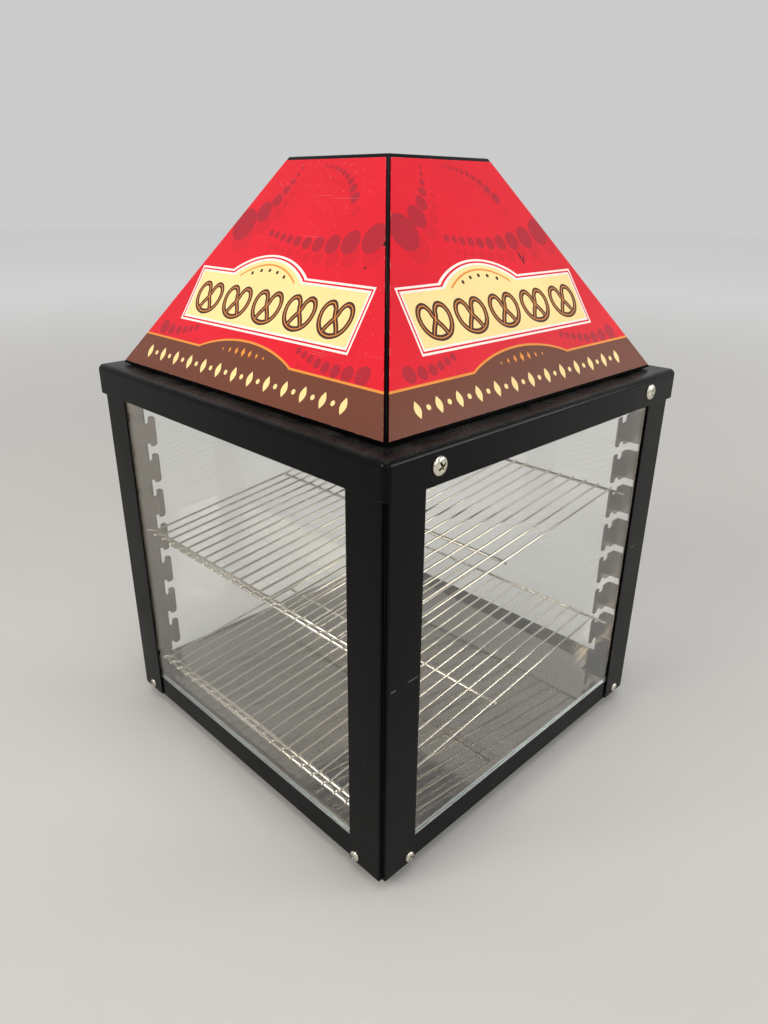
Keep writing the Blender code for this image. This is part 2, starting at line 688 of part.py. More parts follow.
cut_top = DOOR_LOW + CORNER_CUT_H - CLEAR
cut_low = DOOR_HIGH - CORNER_CUT_H + CLEAR
BORE_DEPTH = 0.0085
PIN_INTO_CLIP = 0.0078
hinge_clip(
    "lower_hinge_clip", DOOR_LOW, cut_top, DOOR_LOW + 0.0002, DOOR_LOW + CLIP_H, DOOR_LOW - 0.01,
    DOOR_LOW + BORE_DEPTH,
)
hinge_clip(
    "upper_hinge_clip", cut_low, DOOR_HIGH, DOOR_HIGH - CLIP_H, DOOR_HIGH - 0.0002, DOOR_HIGH - BORE_DEPTH,
    DOOR_HIGH + 0.01,
)


def hinge_pin(name, low, high, collar_low, collar_high):
    """A pin with a collar that the door clip runs against."""
    bm = bmesh.new()
    cylinder_into(bm, (HINGE_X, HINGE_Y, height(low)), (HINGE_X, HINGE_Y, height(high)), PIN_R, SCREW_SIDES)
    pin = mesh_object(name, bm, SCREW)
    collar = cylinder(
        name + "_collar", (HINGE_X, HINGE_Y, height(collar_low)), (HINGE_X, HINGE_Y, height(collar_high)),
        COLLAR_R, SCREW_SIDES, None, cutters,
    )
    return smooth(boolean(pin, collar, "UNION"))


COLLAR_R = 0.0026
ARM_T = 0.0015
ARM_LOW = DOOR_HIGH + 0.0008
ARM_TOP = ARM_LOW + ARM_T
hinge_pin(
    "lower_hinge_pin", BASE_H + CLEAR, DOOR_LOW + PIN_INTO_CLIP, BASE_H + CLEAR + 0.0001, DOOR_LOW - 0.0004
)
hinge_pin(
    "upper_hinge_pin", DOOR_HIGH - PIN_INTO_CLIP, ARM_TOP + 0.0012, ARM_TOP + CLEAR, ARM_TOP + 0.0011
)

ARM_IN, ARM_OUT = HINGE_X - 0.0080, HINGE_X + 0.0045
ARM_FACE = FACE - SHEET - CLEAR  # against the inner side of the top frame
arm = box(
    "upper_hinge_arm", (ARM_IN, HINGE_Y - 0.0045, height(ARM_LOW)),
    (ARM_OUT, HINGE_Y + 0.0034, height(ARM_TOP)), STAINLESS,
)
ear = box(
    "upper_hinge_arm_ear", (ARM_IN + 0.0001, ARM_FACE - 0.0012, height(ARM_LOW + 0.0030)),
    (ARM_OUT - 0.0001, ARM_FACE, height(FRAME_HIGH - SHEET - CLEAR)), None, cutters,
)
ear_bend = box(
    "upper_hinge_arm_bend", (ARM_IN + 0.0002, HINGE_Y - 0.0044, height(ARM_LOW + 0.0002)),
    (ARM_IN + 0.0014, ARM_FACE - 0.0001, height(ARM_LOW + 0.0120)), None, cutters,
)
boolean(arm, ear_bend, "UNION")
boolean(arm, ear, "UNION")
arm_hole = cylinder(
    "upper_hinge_arm_hole", (HINGE_X, HINGE_Y, height(ARM_LOW - 0.004)),
    (HINGE_X, HINGE_Y, height(ARM_LOW + 0.006)), PIN_R + 0.0001, SCREW_SIDES, None, cutters,
)
boolean(arm, arm_hole)

KNOB_X = -0.1660
KNOB_Z = 0.1880
KNOB_PROFILE = [(0.0, 0.0112), (0.0060, 0.0110), (0.0084, 0.0098), (0.0088, 0.0082), (0.0062, 0.0052),
                (0.0052, 0.0028), (0.0064, 0.0), (0.0, 0.0)]
knob_mesh = bpy.data.meshes.new("door_knob")
bm = bmesh.new()
rim_points = [bm.verts.new((r, 0, z)) for r, z in KNOB_PROFILE]
for first, second in zip(rim_points, rim_points[1:]):
    bm.edges.new((first, second))
bm.to_mesh(knob_mesh)
bm.free()
knob = add_object("door_knob", knob_mesh, ALUMINIUM)
turning = knob.modifiers.new("turned", "SCREW")
turning.steps = 20
turning.render_steps = 20
turning.use_merge_vertices = True
turning.merge_threshold = 0.00001
turning.use_normal_calculate = True
knob_seat = Matrix.Translation((KNOB_X, DOOR_BACK + CLEAR, height(KNOB_Z)))
knob.matrix_world = knob_seat @ Matrix.Rotation(-pi / 2, 4, "X")

knob_screw_hole = cylinder(
    "knob_screw_hole", (KNOB_X, DOOR_FRONT - 0.005, height(KNOB_Z)),
    (KNOB_X, DOOR_BACK + 0.0075, height(KNOB_Z)), 0.0022, SCREW_SIDES, None, cutters,
)
boolean(door, knob_screw_hole)
boolean(knob, knob_screw_hole)
bevel(door, 0.0004, 1)
screw(
    "knob_screw", (KNOB_X, DOOR_FRONT, height(KNOB_Z)), (0, -1, 0), 0.0042, 0.0022, 0.0019, DOOR_T + 0.0060
)

CATCH_Z = 0.0460
box(
    "door_strike_plate", (-DOOR_HALF_W + 0.002, DOOR_FRONT - CLEAR - 0.0008, height(CATCH_Z)),
    (-DOOR_HALF_W + 0.014, DOOR_FRONT - CLEAR, height(CATCH_Z + 0.026)), SCREW,
)
bevel(
    box(
        "catch_magnet", (-DOOR_HALF_W + 0.0025, REAR_WEB_Y + 0.0001, height(CATCH_Z + 0.002)),
        (-DOOR_HALF_W + 0.0135, DOOR_FRONT - CLEAR - 0.0010, height(CATCH_Z + 0.024)), MAGNET,
    ),
    0.0002, 1,
)


# ---- screws ----

POST_HEAD_R = 0.0048
POST_HEAD_H = 0.0028
CAP_HEAD_R = 0.0073
CAP_HEAD_H = 0.0036
for screw_name, seat_point, outward in corner_screws():
    screw(screw_name, seat_point, outward, POST_HEAD_R, POST_HEAD_H, POST_SHANK_R, POST_SHANK_L)
for screw_name, seat_point, outward in cap_screws():
    screw(screw_name, seat_point, outward, CAP_HEAD_R, CAP_HEAD_H, CAP_SHANK_R, CAP_SHANK_L)
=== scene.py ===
from math import atan2, cos, hypot, pi, radians, sin, tan

import bmesh
import bpy
from mathutils import Matrix, Vector
from mathutils.geometry import delaunay_2d_cdt, intersect_point_line


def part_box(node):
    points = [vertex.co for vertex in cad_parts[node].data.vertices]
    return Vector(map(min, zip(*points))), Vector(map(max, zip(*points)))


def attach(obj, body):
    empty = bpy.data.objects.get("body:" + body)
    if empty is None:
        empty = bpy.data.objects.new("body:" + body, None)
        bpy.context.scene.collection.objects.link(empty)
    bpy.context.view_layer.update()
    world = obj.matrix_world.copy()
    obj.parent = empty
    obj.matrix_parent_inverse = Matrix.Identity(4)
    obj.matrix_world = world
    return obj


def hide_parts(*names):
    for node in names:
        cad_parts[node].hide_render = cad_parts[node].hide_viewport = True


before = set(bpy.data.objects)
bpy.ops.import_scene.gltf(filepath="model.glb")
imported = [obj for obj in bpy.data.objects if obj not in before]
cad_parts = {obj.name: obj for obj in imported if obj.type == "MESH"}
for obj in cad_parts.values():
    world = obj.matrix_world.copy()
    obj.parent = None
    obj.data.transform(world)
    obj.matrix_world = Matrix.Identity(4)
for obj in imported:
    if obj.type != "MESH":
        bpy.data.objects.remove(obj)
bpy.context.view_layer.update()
scene = bpy.context.scene
print("frame loaded:", len(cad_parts), "nodes")


# camera, set where the case's near corner post stands in the middle of the picture

cameraValues = {
    "place": (0.5196, -0.5200, 0.5464),
    "turnDegrees": (66.753, -0.451, 45.274),
    "lensMillimetres": 26.27,
}

cameraData = bpy.data.cameras.new("showroomCamera")
cameraData.lens = cameraValues["lensMillimetres"]
cameraData.clip_start = 0.01
cameraObject = bpy.data.objects.new("showroomCamera", cameraData)
cameraObject.location = cameraValues["place"]
cameraObject.rotation_euler = [radians(angle) for angle in cameraValues["turnDegrees"]]
scene.collection.objects.link(cameraObject)
scene.camera = cameraObject


# nodes and materials

def feed(tree, socket, value):
    if isinstance(value, bpy.types.NodeSocket):
        tree.links.new(value, socket)
    elif value is not None:
        socket.default_value = value


def addNode(tree, kind, values=None, **settings):
    node = tree.nodes.new(kind)
    for setting, value in settings.items():
        setattr(node, setting, value)
    for name, value in (values or {}).items():
        feed(tree, node.inputs[name], value)
    return node


def calc(tree, operation, *values, clamp=False):
    node = addNode(tree, "ShaderNodeMath", operation=operation, use_clamp=clamp)
    for socket, value in zip(node.inputs, values):
        feed(tree, socket, value)
    return node.outputs[0]


def times(tree, first, *others):
    for other in others:
        first = calc(tree, "MULTIPLY", first, other)
    return first


def ramp(tree, value, low, high, outLow=0.0, outHigh=1.0):
    values = {"Value": value, "From Min": low, "From Max": high, "To Min": outLow, "To Max": outHigh}
    return addNode(tree, "ShaderNodeMapRange", values, interpolation_type="SMOOTHSTEP").outputs["Result"]


def blendColors(tree, amount, first, second):
    node = addNode(tree, "ShaderNodeMix", data_type="RGBA")
    feed(tree, node.inputs[0], amount)
    feed(tree, node.inputs[6], first)
    feed(tree, node.inputs[7], second)
    return node.outputs[2]


def noise(tree, vector, scale, detail=2.0, roughness=0.5):
    values = {"Vector": vector, "Scale": scale, "Detail": detail, "Roughness": roughness}
    return addNode(tree, "ShaderNodeTexNoise", values).outputs["Fac"]


def stretched(tree, vector, scales, turn=(0, 0, 0)):
    values = {"Vector": vector, "Scale": scales, "Rotation": turn}
    return addNode(tree, "ShaderNodeMapping", values).outputs["Vector"]


def newGroup(name, inputs, outputs):
    tree = bpy.data.node_groups.new(name, "ShaderNodeTree")
    for socketName, value in inputs.items():
        kind = "NodeSocketVector" if isinstance(value, tuple) else "NodeSocketFloat"
        tree.interface.new_socket(name=socketName, in_out="INPUT", socket_type=kind).default_value = value
    for socketName in outputs:
        tree.interface.new_socket(name=socketName, in_out="OUTPUT", socket_type="NodeSocketFloat")
    place = addNode(tree, "ShaderNodeTexCoord").outputs["Object"]
    return tree, tree.nodes.new("NodeGroupInput").outputs, tree.nodes.new("NodeGroupOutput").inputs, place


def useGroup(tree, group, **values):
    node = tree.nodes.new("ShaderNodeGroup")
    node.node_tree = group
    for name, value in values.items():
        feed(tree, node.inputs[name], value)
    return node.outputs


# rubbed edges: where the rounded normal leaves the flat one, broken up by noise; the unbroken edge is given
# too, and carries a painted edge highlight
edgeWearAndPaintedHighlight, given, gives, place = newGroup(
    "edgeWearAndPaintedHighlight", {"width": 0.0008, "breakup": 60.0, "amount": 1.0}, ["mask", "edge"]
)
rounded = addNode(edgeWearAndPaintedHighlight, "ShaderNodeBevel", {"Radius": given["width"]}, samples=4).outputs["Normal"]
flat = addNode(edgeWearAndPaintedHighlight, "ShaderNodeNewGeometry").outputs["Normal"]
alike = addNode(edgeWearAndPaintedHighlight, "ShaderNodeVectorMath", {0: rounded, 1: flat}, operation="DOT_PRODUCT")
onEdge = ramp(edgeWearAndPaintedHighlight, alike.outputs["Value"], 0.985, 0.80)
patches = ramp(edgeWearAndPaintedHighlight, noise(edgeWearAndPaintedHighlight, place, given["breakup"], 3.0), 0.50, 0.66)
feed(edgeWearAndPaintedHighlight, gives["mask"], times(edgeWearAndPaintedHighlight, onEdge, patches, given["amount"]))
feed(edgeWearAndPaintedHighlight, gives["edge"], onEdge)

# the soft pebbling of a baked coat, and the slow change of its gloss
orangePeel, given, gives, place = newGroup("orangePeel", {"scale": 650.0}, ["height", "gloss"])
fine = noise(orangePeel, place, given["scale"], 1.0)
feed(orangePeel, gives["height"], fine)
broadScale = calc(orangePeel, "DIVIDE", given["scale"], 60.0)
feed(orangePeel, gives["gloss"], noise(orangePeel, place, broadScale, 3.0))

# rolled or brushed lines: noise drawn out along one direction
brushedLines, given, gives, place = newGroup(
    "brushedLines", {"scales": (20.0, 20.0, 900.0)}, ["lines", "clouds"]
)
drawn = addNode(brushedLines, "ShaderNodeVectorMath", {0: place, 1: given["scales"]}, operation="MULTIPLY")
feed(brushedLines, gives["lines"], noise(brushedLines, drawn.outputs[0], 1.0, 3.0, 0.65))
feed(brushedLines, gives["clouds"], noise(brushedLines, place, 14.0, 3.0))

# dust that lies on what faces up
settledDust, given, gives, place = newGroup("settledDust", {"amount": 0.3}, ["mask"])
normal = addNode(settledDust, "ShaderNodeNewGeometry").outputs["Normal"]
upward = addNode(settledDust, "ShaderNodeSeparateXYZ", {"Vector": normal}).outputs["Z"]
drifts = noise(settledDust, place, 40.0, 4.0, 0.7)
specks = calc(settledDust, "ADD", drifts, noise(settledDust, place, 900.0, 1.0))
facingUp, thick = ramp(settledDust, upward, 0.55, 1.0), ramp(settledDust, specks, 0.75, 1.35)
feed(settledDust, gives["mask"], times(settledDust, facingUp, thick, given["amount"]))

# fine hair scratches in two directions
hairScratches, given, gives, place = newGroup("hairScratches", {"scale": 1.0, "amount": 1.0}, ["mask"])
scratchSum = None
for scales, turn in (((900, 900, 7), (0.5, 0.2, 0.3)), ((8, 1000, 1000), (0.3, 0.6, -0.4))):
    along = stretched(hairScratches, place, scales, turn)
    hair = ramp(hairScratches, noise(hairScratches, along, given["scale"], 1.0), 0.70, 0.78)
    scratchSum = hair if scratchSum is None else calc(hairScratches, "MAXIMUM", scratchSum, hair)
sparse = ramp(hairScratches, noise(hairScratches, place, 9.0, 2.0), 0.48, 0.62)
feed(hairScratches, gives["mask"], times(hairScratches, scratchSum, sparse, given["amount"]))

# wiped glass: broad streaks and a few soft finger marks
wipedMarks, given, gives, place = newGroup("wipedMarks", {"amount": 1.0}, ["mask"])
streaks = noise(wipedMarks, stretched(wipedMarks, place, (9, 9, 3), (0.5, 0.4, 0.2)), 2.0, 4.0, 0.6)
smears = noise(wipedMarks, place, 26.0, 2.0)
streaked, smeared = ramp(wipedMarks, streaks, 0.50, 0.72), ramp(wipedMarks, smears, 0.42, 0.70)
feed(wipedMarks, gives["mask"], times(wipedMarks, streaked, smeared, given["amount"]))

# one rub mark between two points, thin at its ends
rubMark, given, gives, place = newGroup(
    "rubMark", {"start": (0.0, 0.0, 0.0), "end": (0.0, 0.0, 1.0), "width": 0.001}, ["mask"]
)


def vectorCalc(tree, operation, *values):
    node = addNode(tree, "ShaderNodeVectorMath", operation=operation)
    for socket, value in zip(node.inputs, values):
        feed(tree, socket, value)
    return node.outputs


run = vectorCalc(rubMark, "SUBTRACT", given["end"], given["start"])[0]
away = vectorCalc(rubMark, "SUBTRACT", place, given["start"])[0]
share = calc(
    rubMark, "DIVIDE", vectorCalc(rubMark, "DOT_PRODUCT", away, run)["Value"],
    vectorCalc(rubMark, "DOT_PRODUCT", run, run)["Value"], clamp=True,
)
onLine = vectorCalc(rubMark, "SCALE", run)
feed(rubMark, onLine[0].node.inputs["Scale"], share)
gap = vectorCalc(rubMark, "LENGTH", vectorCalc(rubMark, "SUBTRACT", away, onLine[0])[0])["Value"]
taper = calc(rubMark, "SQRT", calc(rubMark, "MULTIPLY", share, calc(rubMark, "SUBTRACT", 1.0, share)))
reach = calc(rubMark, "MULTIPLY", given["width"], taper)
ragged = ramp(rubMark, noise(rubMark, place, 900.0, 2.0), 0.38, 0.52)
inside = calc(rubMark, "LESS_THAN", gap, reach)
feed(rubMark, gives["mask"], calc(rubMark, "MULTIPLY", inside, ragged))


def color(red, green, blue):
    # from screen values, 0 to 255, to linear light
    linear = [((c / 255 + 0.055) / 1.055) ** 2.4 if c > 10 else c / 255 / 12.92 for c in (red, green, blue)]
    return (*linear, 1.0)


def newMaterial(name, roughness=0.5, **plain):
    material = bpy.data.materials.new(name)
    material.use_nodes = True
    tree = material.node_tree
    shader = tree.nodes["Principled BSDF"]
    shader.inputs["Roughness"].default_value = roughness
    for socketName, value in plain.items():
        shader.inputs[socketName.replace("_", " ")].default_value = value
    return material, tree, shader


def addBump(tree, shader, height, strength, distance):
    values = {"Height": height, "Strength": strength, "Distance": distance}
    feed(tree, shader.inputs["Normal"], addNode(tree, "ShaderNodeBump", values).outputs["Normal"])


coatValues = {
    "black": color(6, 6, 7),
    "rubbed": color(96, 94, 92),
    # painted edge highlight: the grey laid along every rounded edge
    "paintedEdgeHighlight": color(52, 52, 51),
    "dust": color(150, 146, 140),
    "glossLow": 0.20,
    "glossHigh": 0.34,
    "pebbleScale": 620.0,
    "pebbleDepth": 0.00006,
    "edgeRub": 0.45,
    "rubMarks": [  # start, end and width of each mark
        ((0.2, -0.1928, 0.2028), (0.2, -0.1868, 0.2029), 0.0016),
        ((0.2, -0.1745, 0.2034), (0.2, -0.1622, 0.2035), 0.0015),
        ((0.2, 0.1665, 0.2022), (0.2, 0.1770, 0.2025), 0.0011),
    ],
}


def makePowderCoat():
    material, tree, shader = newMaterial("blackPowderCoat", Coat_Roughness=0.08, Specular_IOR_Level=0.07)
    peel = useGroup(tree, orangePeel, scale=coatValues["pebbleScale"])
    edges = useGroup(tree, edgeWearAndPaintedHighlight, width=0.0009, breakup=85.0, amount=coatValues["edgeRub"])
    rubbed = edges["mask"]
    for start, end, width in coatValues["rubMarks"]:
        mark = useGroup(tree, rubMark, start=start, end=end, width=width)["mask"]
        rubbed = calc(tree, "MAXIMUM", rubbed, mark)
    scratches = useGroup(tree, hairScratches, scale=1.0, amount=0.35)["mask"]
    dust = useGroup(tree, settledDust, amount=0.10)["mask"]
    # painted highlight: a lighter grey along every rounded edge stands in for lamp glints on the lips and
    # folds
    paintedEdgeHighlight = blendColors(tree, edges["edge"], coatValues["black"], coatValues["paintedEdgeHighlight"])
    painted = blendColors(tree, rubbed, paintedEdgeHighlight, coatValues["rubbed"])
    feed(tree, shader.inputs["Base Color"], blendColors(tree, dust, painted, coatValues["dust"]))
    gloss = ramp(tree, peel["gloss"], 0.35, 0.65, coatValues["glossLow"], coatValues["glossHigh"])
    rough = calc(tree, "ADD", gloss, calc(tree, "MULTIPLY", scratches, 0.25))
    rough = calc(tree, "ADD", rough, calc(tree, "MULTIPLY", dust, 0.5), clamp=True)
    feed(tree, shader.inputs["Roughness"], rough)
    feed(tree, shader.inputs["Coat Weight"], calc(tree, "SUBTRACT", 0.04, rubbed, clamp=True))
    addBump(tree, shader, peel["height"], 0.35, coatValues["pebbleDepth"])
    return material


def makeBrushedMetal(
    name, bright, tint, scales, roughLow, roughHigh, tintAmount=0.3, depth=0.000004, dusty=0.0,
    grainAmount=0.12,
):
    material, tree, shader = newMaterial(name, Metallic=1.0)
    brush = useGroup(tree, brushedLines, scales=scales)
    scratches = useGroup(tree, hairScratches, scale=1.3, amount=0.5)["mask"]
    clouds = ramp(tree, brush["clouds"], 0.40, 0.68, 0.0, tintAmount)
    metal = blendColors(tree, clouds, bright, tint)
    grain = blendColors(tree, calc(tree, "MULTIPLY", brush["lines"], grainAmount), metal, tint)
    rough = ramp(tree, brush["lines"], 0.30, 0.70, roughLow, roughHigh)
    rough = calc(tree, "ADD", rough, calc(tree, "MULTIPLY", scratches, 0.15), clamp=True)
    if dusty:
        dust = useGroup(tree, settledDust, amount=dusty)["mask"]
        grain = blendColors(tree, dust, grain, color(170, 160, 146))
        rough = calc(tree, "ADD", rough, calc(tree, "MULTIPLY", dust, 0.6), clamp=True)
    feed(tree, shader.inputs["Base Color"], grain)
    feed(tree, shader.inputs["Roughness"], rough)
    addBump(tree, shader, brush["lines"], 0.4, depth)
    return material


# glass that lets lamp light through
def makeClearGlass(name, tint, marks):
    material, tree, shader = newMaterial(name, Transmission_Weight=1.0, IOR=1.47, Base_Color=tint)
    wiped = useGroup(tree, wipedMarks, amount=marks)["mask"]
    feed(tree, shader.inputs["Roughness"], ramp(tree, wiped, 0.0, 1.0, 0.0, 0.02))
    clear = addNode(tree, "ShaderNodeBsdfTransparent", {"Color": tint}).outputs[0]
    toLamp = addNode(tree, "ShaderNodeLightPath").outputs["Is Shadow Ray"]
    mixed = addNode(tree, "ShaderNodeMixShader", {0: toLamp, 1: shader.outputs[0], 2: clear})
    tree.links.new(mixed.outputs[0], tree.nodes["Material Output"].inputs["Surface"])
    return material


inkColors = {
    "red": color(218, 17, 39),
    "ghost": color(206, 18, 38),
    "berry": color(172, 26, 44),
    "white": color(246, 234, 226),
    "cream": color(246, 218, 150),
    "cocoa": color(74, 42, 34),
    "band": color(108, 58, 40),
    "amber": color(226, 142, 58),
    "torn": color(14, 12, 12),
}


def makeInk(name, ink):
    material, tree, shader = newMaterial(
        "ink_" + name, Coat_Roughness=0.12, Coat_Weight=0.05, Specular_IOR_Level=0.22
    )
    peel = useGroup(tree, orangePeel, scale=380.0)
    scratches = useGroup(tree, hairScratches, scale=0.9, amount=0.35)["mask"]
    dust = useGroup(tree, settledDust, amount=0.10)["mask"]
    rubbed = useGroup(tree, edgeWearAndPaintedHighlight, width=0.0006, breakup=120.0, amount=0.5)["mask"]
    deeper = tuple(channel * 0.88 for channel in ink[:3]) + (1.0,)
    printed = blendColors(tree, ramp(tree, peel["gloss"], 0.35, 0.65), ink, deeper)
    printed = blendColors(tree, calc(tree, "MAXIMUM", scratches, rubbed), printed, color(228, 190, 186))
    feed(tree, shader.inputs["Base Color"], blendColors(tree, dust, printed, coatValues["dust"]))
    rough = ramp(tree, peel["gloss"], 0.3, 0.7, 0.30, 0.42)
    rough = calc(tree, "ADD", rough, calc(tree, "MULTIPLY", dust, 0.4), clamp=True)
    feed(tree, shader.inputs["Roughness"], rough)
    addBump(tree, shader, peel["height"], 0.2, 0.00004)
    return material


# rubber and moulded plastic
def makeMoulded(name, shade, roughLow, roughHigh, grain, depth):
    material, tree, shader = newMaterial(name)
    peel = useGroup(tree, orangePeel, scale=grain)
    dust = useGroup(tree, settledDust, amount=0.25)["mask"]
    lighter = tuple(min(1.0, channel * 1.8) for channel in shade[:3]) + (1.0,)
    body = blendColors(tree, ramp(tree, peel["gloss"], 0.35, 0.70), shade, lighter)
    feed(tree, shader.inputs["Base Color"], blendColors(tree, dust, body, coatValues["dust"]))
    feed(tree, shader.inputs["Roughness"], ramp(tree, peel["gloss"], 0.3, 0.7, roughLow, roughHigh))
    addBump(tree, shader, peel["height"], 0.5, depth)
    return material


powderCoat = makePowderCoat()
bracketSteel = makeBrushedMetal(
    "bracketStainless", color(142, 134, 121), color(112, 96, 80), (9, 9, 2600), 0.17, 0.27, tintAmount=0.45
)
floorSteel = makeBrushedMetal(
    "floorStainless", color(134, 128, 118), color(118, 110, 99), (9, 900, 9), 0.03, 0.05,
    depth=0.0000003, dusty=0.05, grainAmount=0.02,
)
wireSteel = makeBrushedMetal(
    "rackWire", color(226, 220, 206), color(170, 152, 126), (60, 12, 60), 0.12, 0.20,
    tintAmount=0.25, depth=0.000002,
)
channelAluminium = makeBrushedMetal(
    "channelAluminium", color(178, 181, 183), color(150, 152, 154), (12, 12, 2600), 0.26, 0.38
)
screwZinc = makeBrushedMetal(
    "screwZinc", color(226, 221, 208), color(160, 150, 128), (200, 200, 200), 0.15, 0.28,
    tintAmount=0.4, depth=0.00001,
)
clearGlass = makeClearGlass("clearGlass", (0.985, 0.995, 0.99, 1.0), 1.0)
glassEdge = makeClearGlass("glassEdge", (0.55, 0.80, 0.70, 1.0), 1.0)
inks = {name: makeInk(name, ink) for name, ink in inkColors.items()}
footRubber = makeMoulded("footRubber", color(30, 30, 30), 0.62, 0.85, 900.0, 0.00015)
magnetPlastic = makeMoulded("magnetPlastic", color(44, 44, 46), 0.42, 0.60, 1100.0, 0.00006)
print("materials made:", len(bpy.data.materials))


# putting a piece together

def standPiece(
    name, bm, materials, body, nodes=(), bevel=0.0, bevelAngle=40, sharpAngle=35, skin=0.0
):
    bmesh.ops.recalc_face_normals(bm, faces=bm.faces)
    mesh = bpy.data.meshes.new(name)
    bm.to_mesh(mesh)
    bm.free()
    for material in materials:
        mesh.materials.append(material)
    mesh.shade_smooth()
    mesh.set_sharp_from_angle(angle=radians(sharpAngle))
    piece = bpy.data.objects.new(name, mesh)
    scene.collection.objects.link(piece)
    if skin:
        sheet = piece.modifiers.new("sheet", "SOLIDIFY")
        sheet.thickness = skin
        sheet.offset = -1
        sheet.use_even_offset = True
    if bevel:
        edges = piece.modifiers.new("easedEdges", "BEVEL")
        edges.width = bevel
        edges.segments = 3
        edges.limit_method = "ANGLE"
        edges.angle_limit = radians(bevelAngle)
        edges.miter_outer = "MITER_ARC"
        piece.modifiers.new("evenShading", "WEIGHTED_NORMAL").keep_sharp = True
    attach(piece, body)
    if nodes:
        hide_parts(*nodes)
    return piece


def roundedOutline(corners, steps=5):
    # corners are (x, y, radius), and a radius of 0 leaves the corner sharp
    outline = []
    for index, (x, y, radius) in enumerate(corners):
        here = Vector((x, y))
        if radius == 0:
            outline.append(here)
            continue
        before = (Vector(corners[index - 1][:2]) - here).normalized()
        after = (Vector(corners[(index + 1) % len(corners)][:2]) - here).normalized()
        half = before.angle(after) / 2
        centre = here + (before + after).normalized() * (radius / sin(half))
        first = here + before * (radius / tan(half)) - centre
        last = here + after * (radius / tan(half)) - centre
        start = atan2(first.y, first.x)
        sweep = (atan2(last.y, last.x) - start + pi) % (2 * pi) - pi
        for step in range(steps + 1):
            angle = start + sweep * step / steps
            outline.append(centre + Vector((cos(angle), sin(angle))) * radius)
    return outline


def extrudeInto(bm, outline, low, high, place=Matrix.Identity(4)):
    rings = [[bm.verts.new(place @ Vector((x, y, z))) for x, y in outline] for z in (low, high)]
    count = len(outline)
    for index in range(count):
        after = (index + 1) % count
        bm.faces.new((rings[0][index], rings[0][after], rings[1][after], rings[1][index]))
    bm.faces.new(rings[0][::-1])
    bm.faces.new(rings[1])


def turnInto(bm, profile, sides=48, place=Matrix.Identity(4)):
    # profile is (radius, height) from the bottom up; a radius of 0 closes on the axis
    rings = []
    for radius, height in profile:
        angles = [2 * pi * index / sides for index in range(1 if radius == 0 else sides)]
        spotsRound = [Vector((radius * cos(a), radius * sin(a), height)) for a in angles]
        rings.append([bm.verts.new(place @ spot) for spot in spotsRound])
    for lower, upper in zip(rings, rings[1:]):
        for index in range(sides):
            after = (index + 1) % sides
            face = [lower[index % len(lower)], lower[after % len(lower)]]
            face += [upper[after % len(upper)], upper[index % len(upper)]]
            bm.faces.new(list(dict.fromkeys(face)))


def softenedCopy(
    node, name, material, bevel=0.0005, body="case", edgeMaterial=None, axis=None
):
    bm = bmesh.new()
    bm.from_mesh(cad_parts[node].data)
    bmesh.ops.remove_doubles(bm, verts=bm.verts, dist=0.000005)
    bmesh.ops.dissolve_limit(bm, angle_limit=radians(1), verts=bm.verts, edges=bm.edges)
    for face in bm.faces:
        isEdge = edgeMaterial is not None and abs(face.normal[axis]) < 0.9
        face.material_index = 1 if isEdge else 0
    materials = [material] if edgeMaterial is None else [material, edgeMaterial]
    return standPiece(name, bm, materials, body, (node,), bevel)


sides = (("left", -1), ("right", 1))
ends = (("front", -1), ("rear", 1))


# corner posts: sheet folded to an L, with a groove down the corner

postValues = {
    "sheet": 0.0015, "groove": 0.0037, "lipRadius": 0.0011, "foldRadius": 0.0006, "easedEdge": 0.0004,
}


def buildPost(end, side):
    node = f"{end}_{side}_post"
    low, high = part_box(node)
    outer = max(abs(low.x), abs(high.x))
    legX, legY = high.x - low.x, high.y - low.y
    sheet, lip, fold, eased = (postValues[key] for key in ("sheet", "lipRadius", "foldRadius", "easedEdge"))
    groove = outer - postValues["groove"]
    inner = groove - sheet
    corners = [
        (outer - legX, outer, eased), (outer - legX, outer - sheet, eased), (inner, outer - sheet, 0),
        (inner, inner, fold + sheet * 0.5), (outer - sheet, inner, 0), (outer - sheet, outer - legY, eased),
        (outer, outer - legY, eased), (outer, groove, lip), (groove, groove, fold), (groove, outer, lip),
    ]
    flip = Matrix.Diagonal((1 if side == "right" else -1, 1 if end == "rear" else -1, 1, 1))
    bm = bmesh.new()
    extrudeInto(bm, roundedOutline(corners, 6), low.z, high.z, flip)
    return standPiece(f"folded_{node}", bm, [powderCoat], "case", (node,), 0.0003, 50)


for endName, _ in ends:
    for sideName, _ in sides:
        buildPost(endName, sideName)


# base, frame and cap

softenedCopy("base_pan", "folded_base_pan", powderCoat, 0.0007)
softenedCopy("top_frame", "folded_top_frame", powderCoat, 0.0004)
softenedCopy("base_bottom_plate", "bottom_plate", bracketSteel, 0.0003)
softenedCopy("hood_riser", "hood_riser_strip", powderCoat, 0.0005)

capValues = {"sheet": 0.0015, "cornerRadius": 0.0058, "segments": 10, "rim": 0.0004}


def openBox(low, high, radius, segments):
    bm = bmesh.new()
    middle, size = (Vector(low) + Vector(high)) / 2, Vector(high) - Vector(low)
    bmesh.ops.create_cube(bm, size=1, matrix=Matrix.Translation(middle) @ Matrix.Diagonal((*size, 1)))
    bmesh.ops.delete(bm, geom=[face for face in bm.faces if face.normal.z < -0.5], context="FACES_ONLY")
    kept = [edge for edge in bm.edges if not edge.is_boundary]
    bmesh.ops.bevel(bm, geom=kept, offset=radius, segments=segments, profile=0.5, affect="EDGES")
    return bm


capLow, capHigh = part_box("top_cap")
standPiece(
    "pressed_top_cap", openBox(capLow, capHigh, capValues["cornerRadius"], capValues["segments"]),
    [powderCoat], "case", ("top_cap",), capValues["rim"], 50, skin=capValues["sheet"],
)

hoodValues = {"topHalf": 0.0627, "wall": 0.0012, "foldRadius": 0.0011, "segments": 4}
hoodLow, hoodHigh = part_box("hood_shell")
hoodHalf = hoodHigh.x


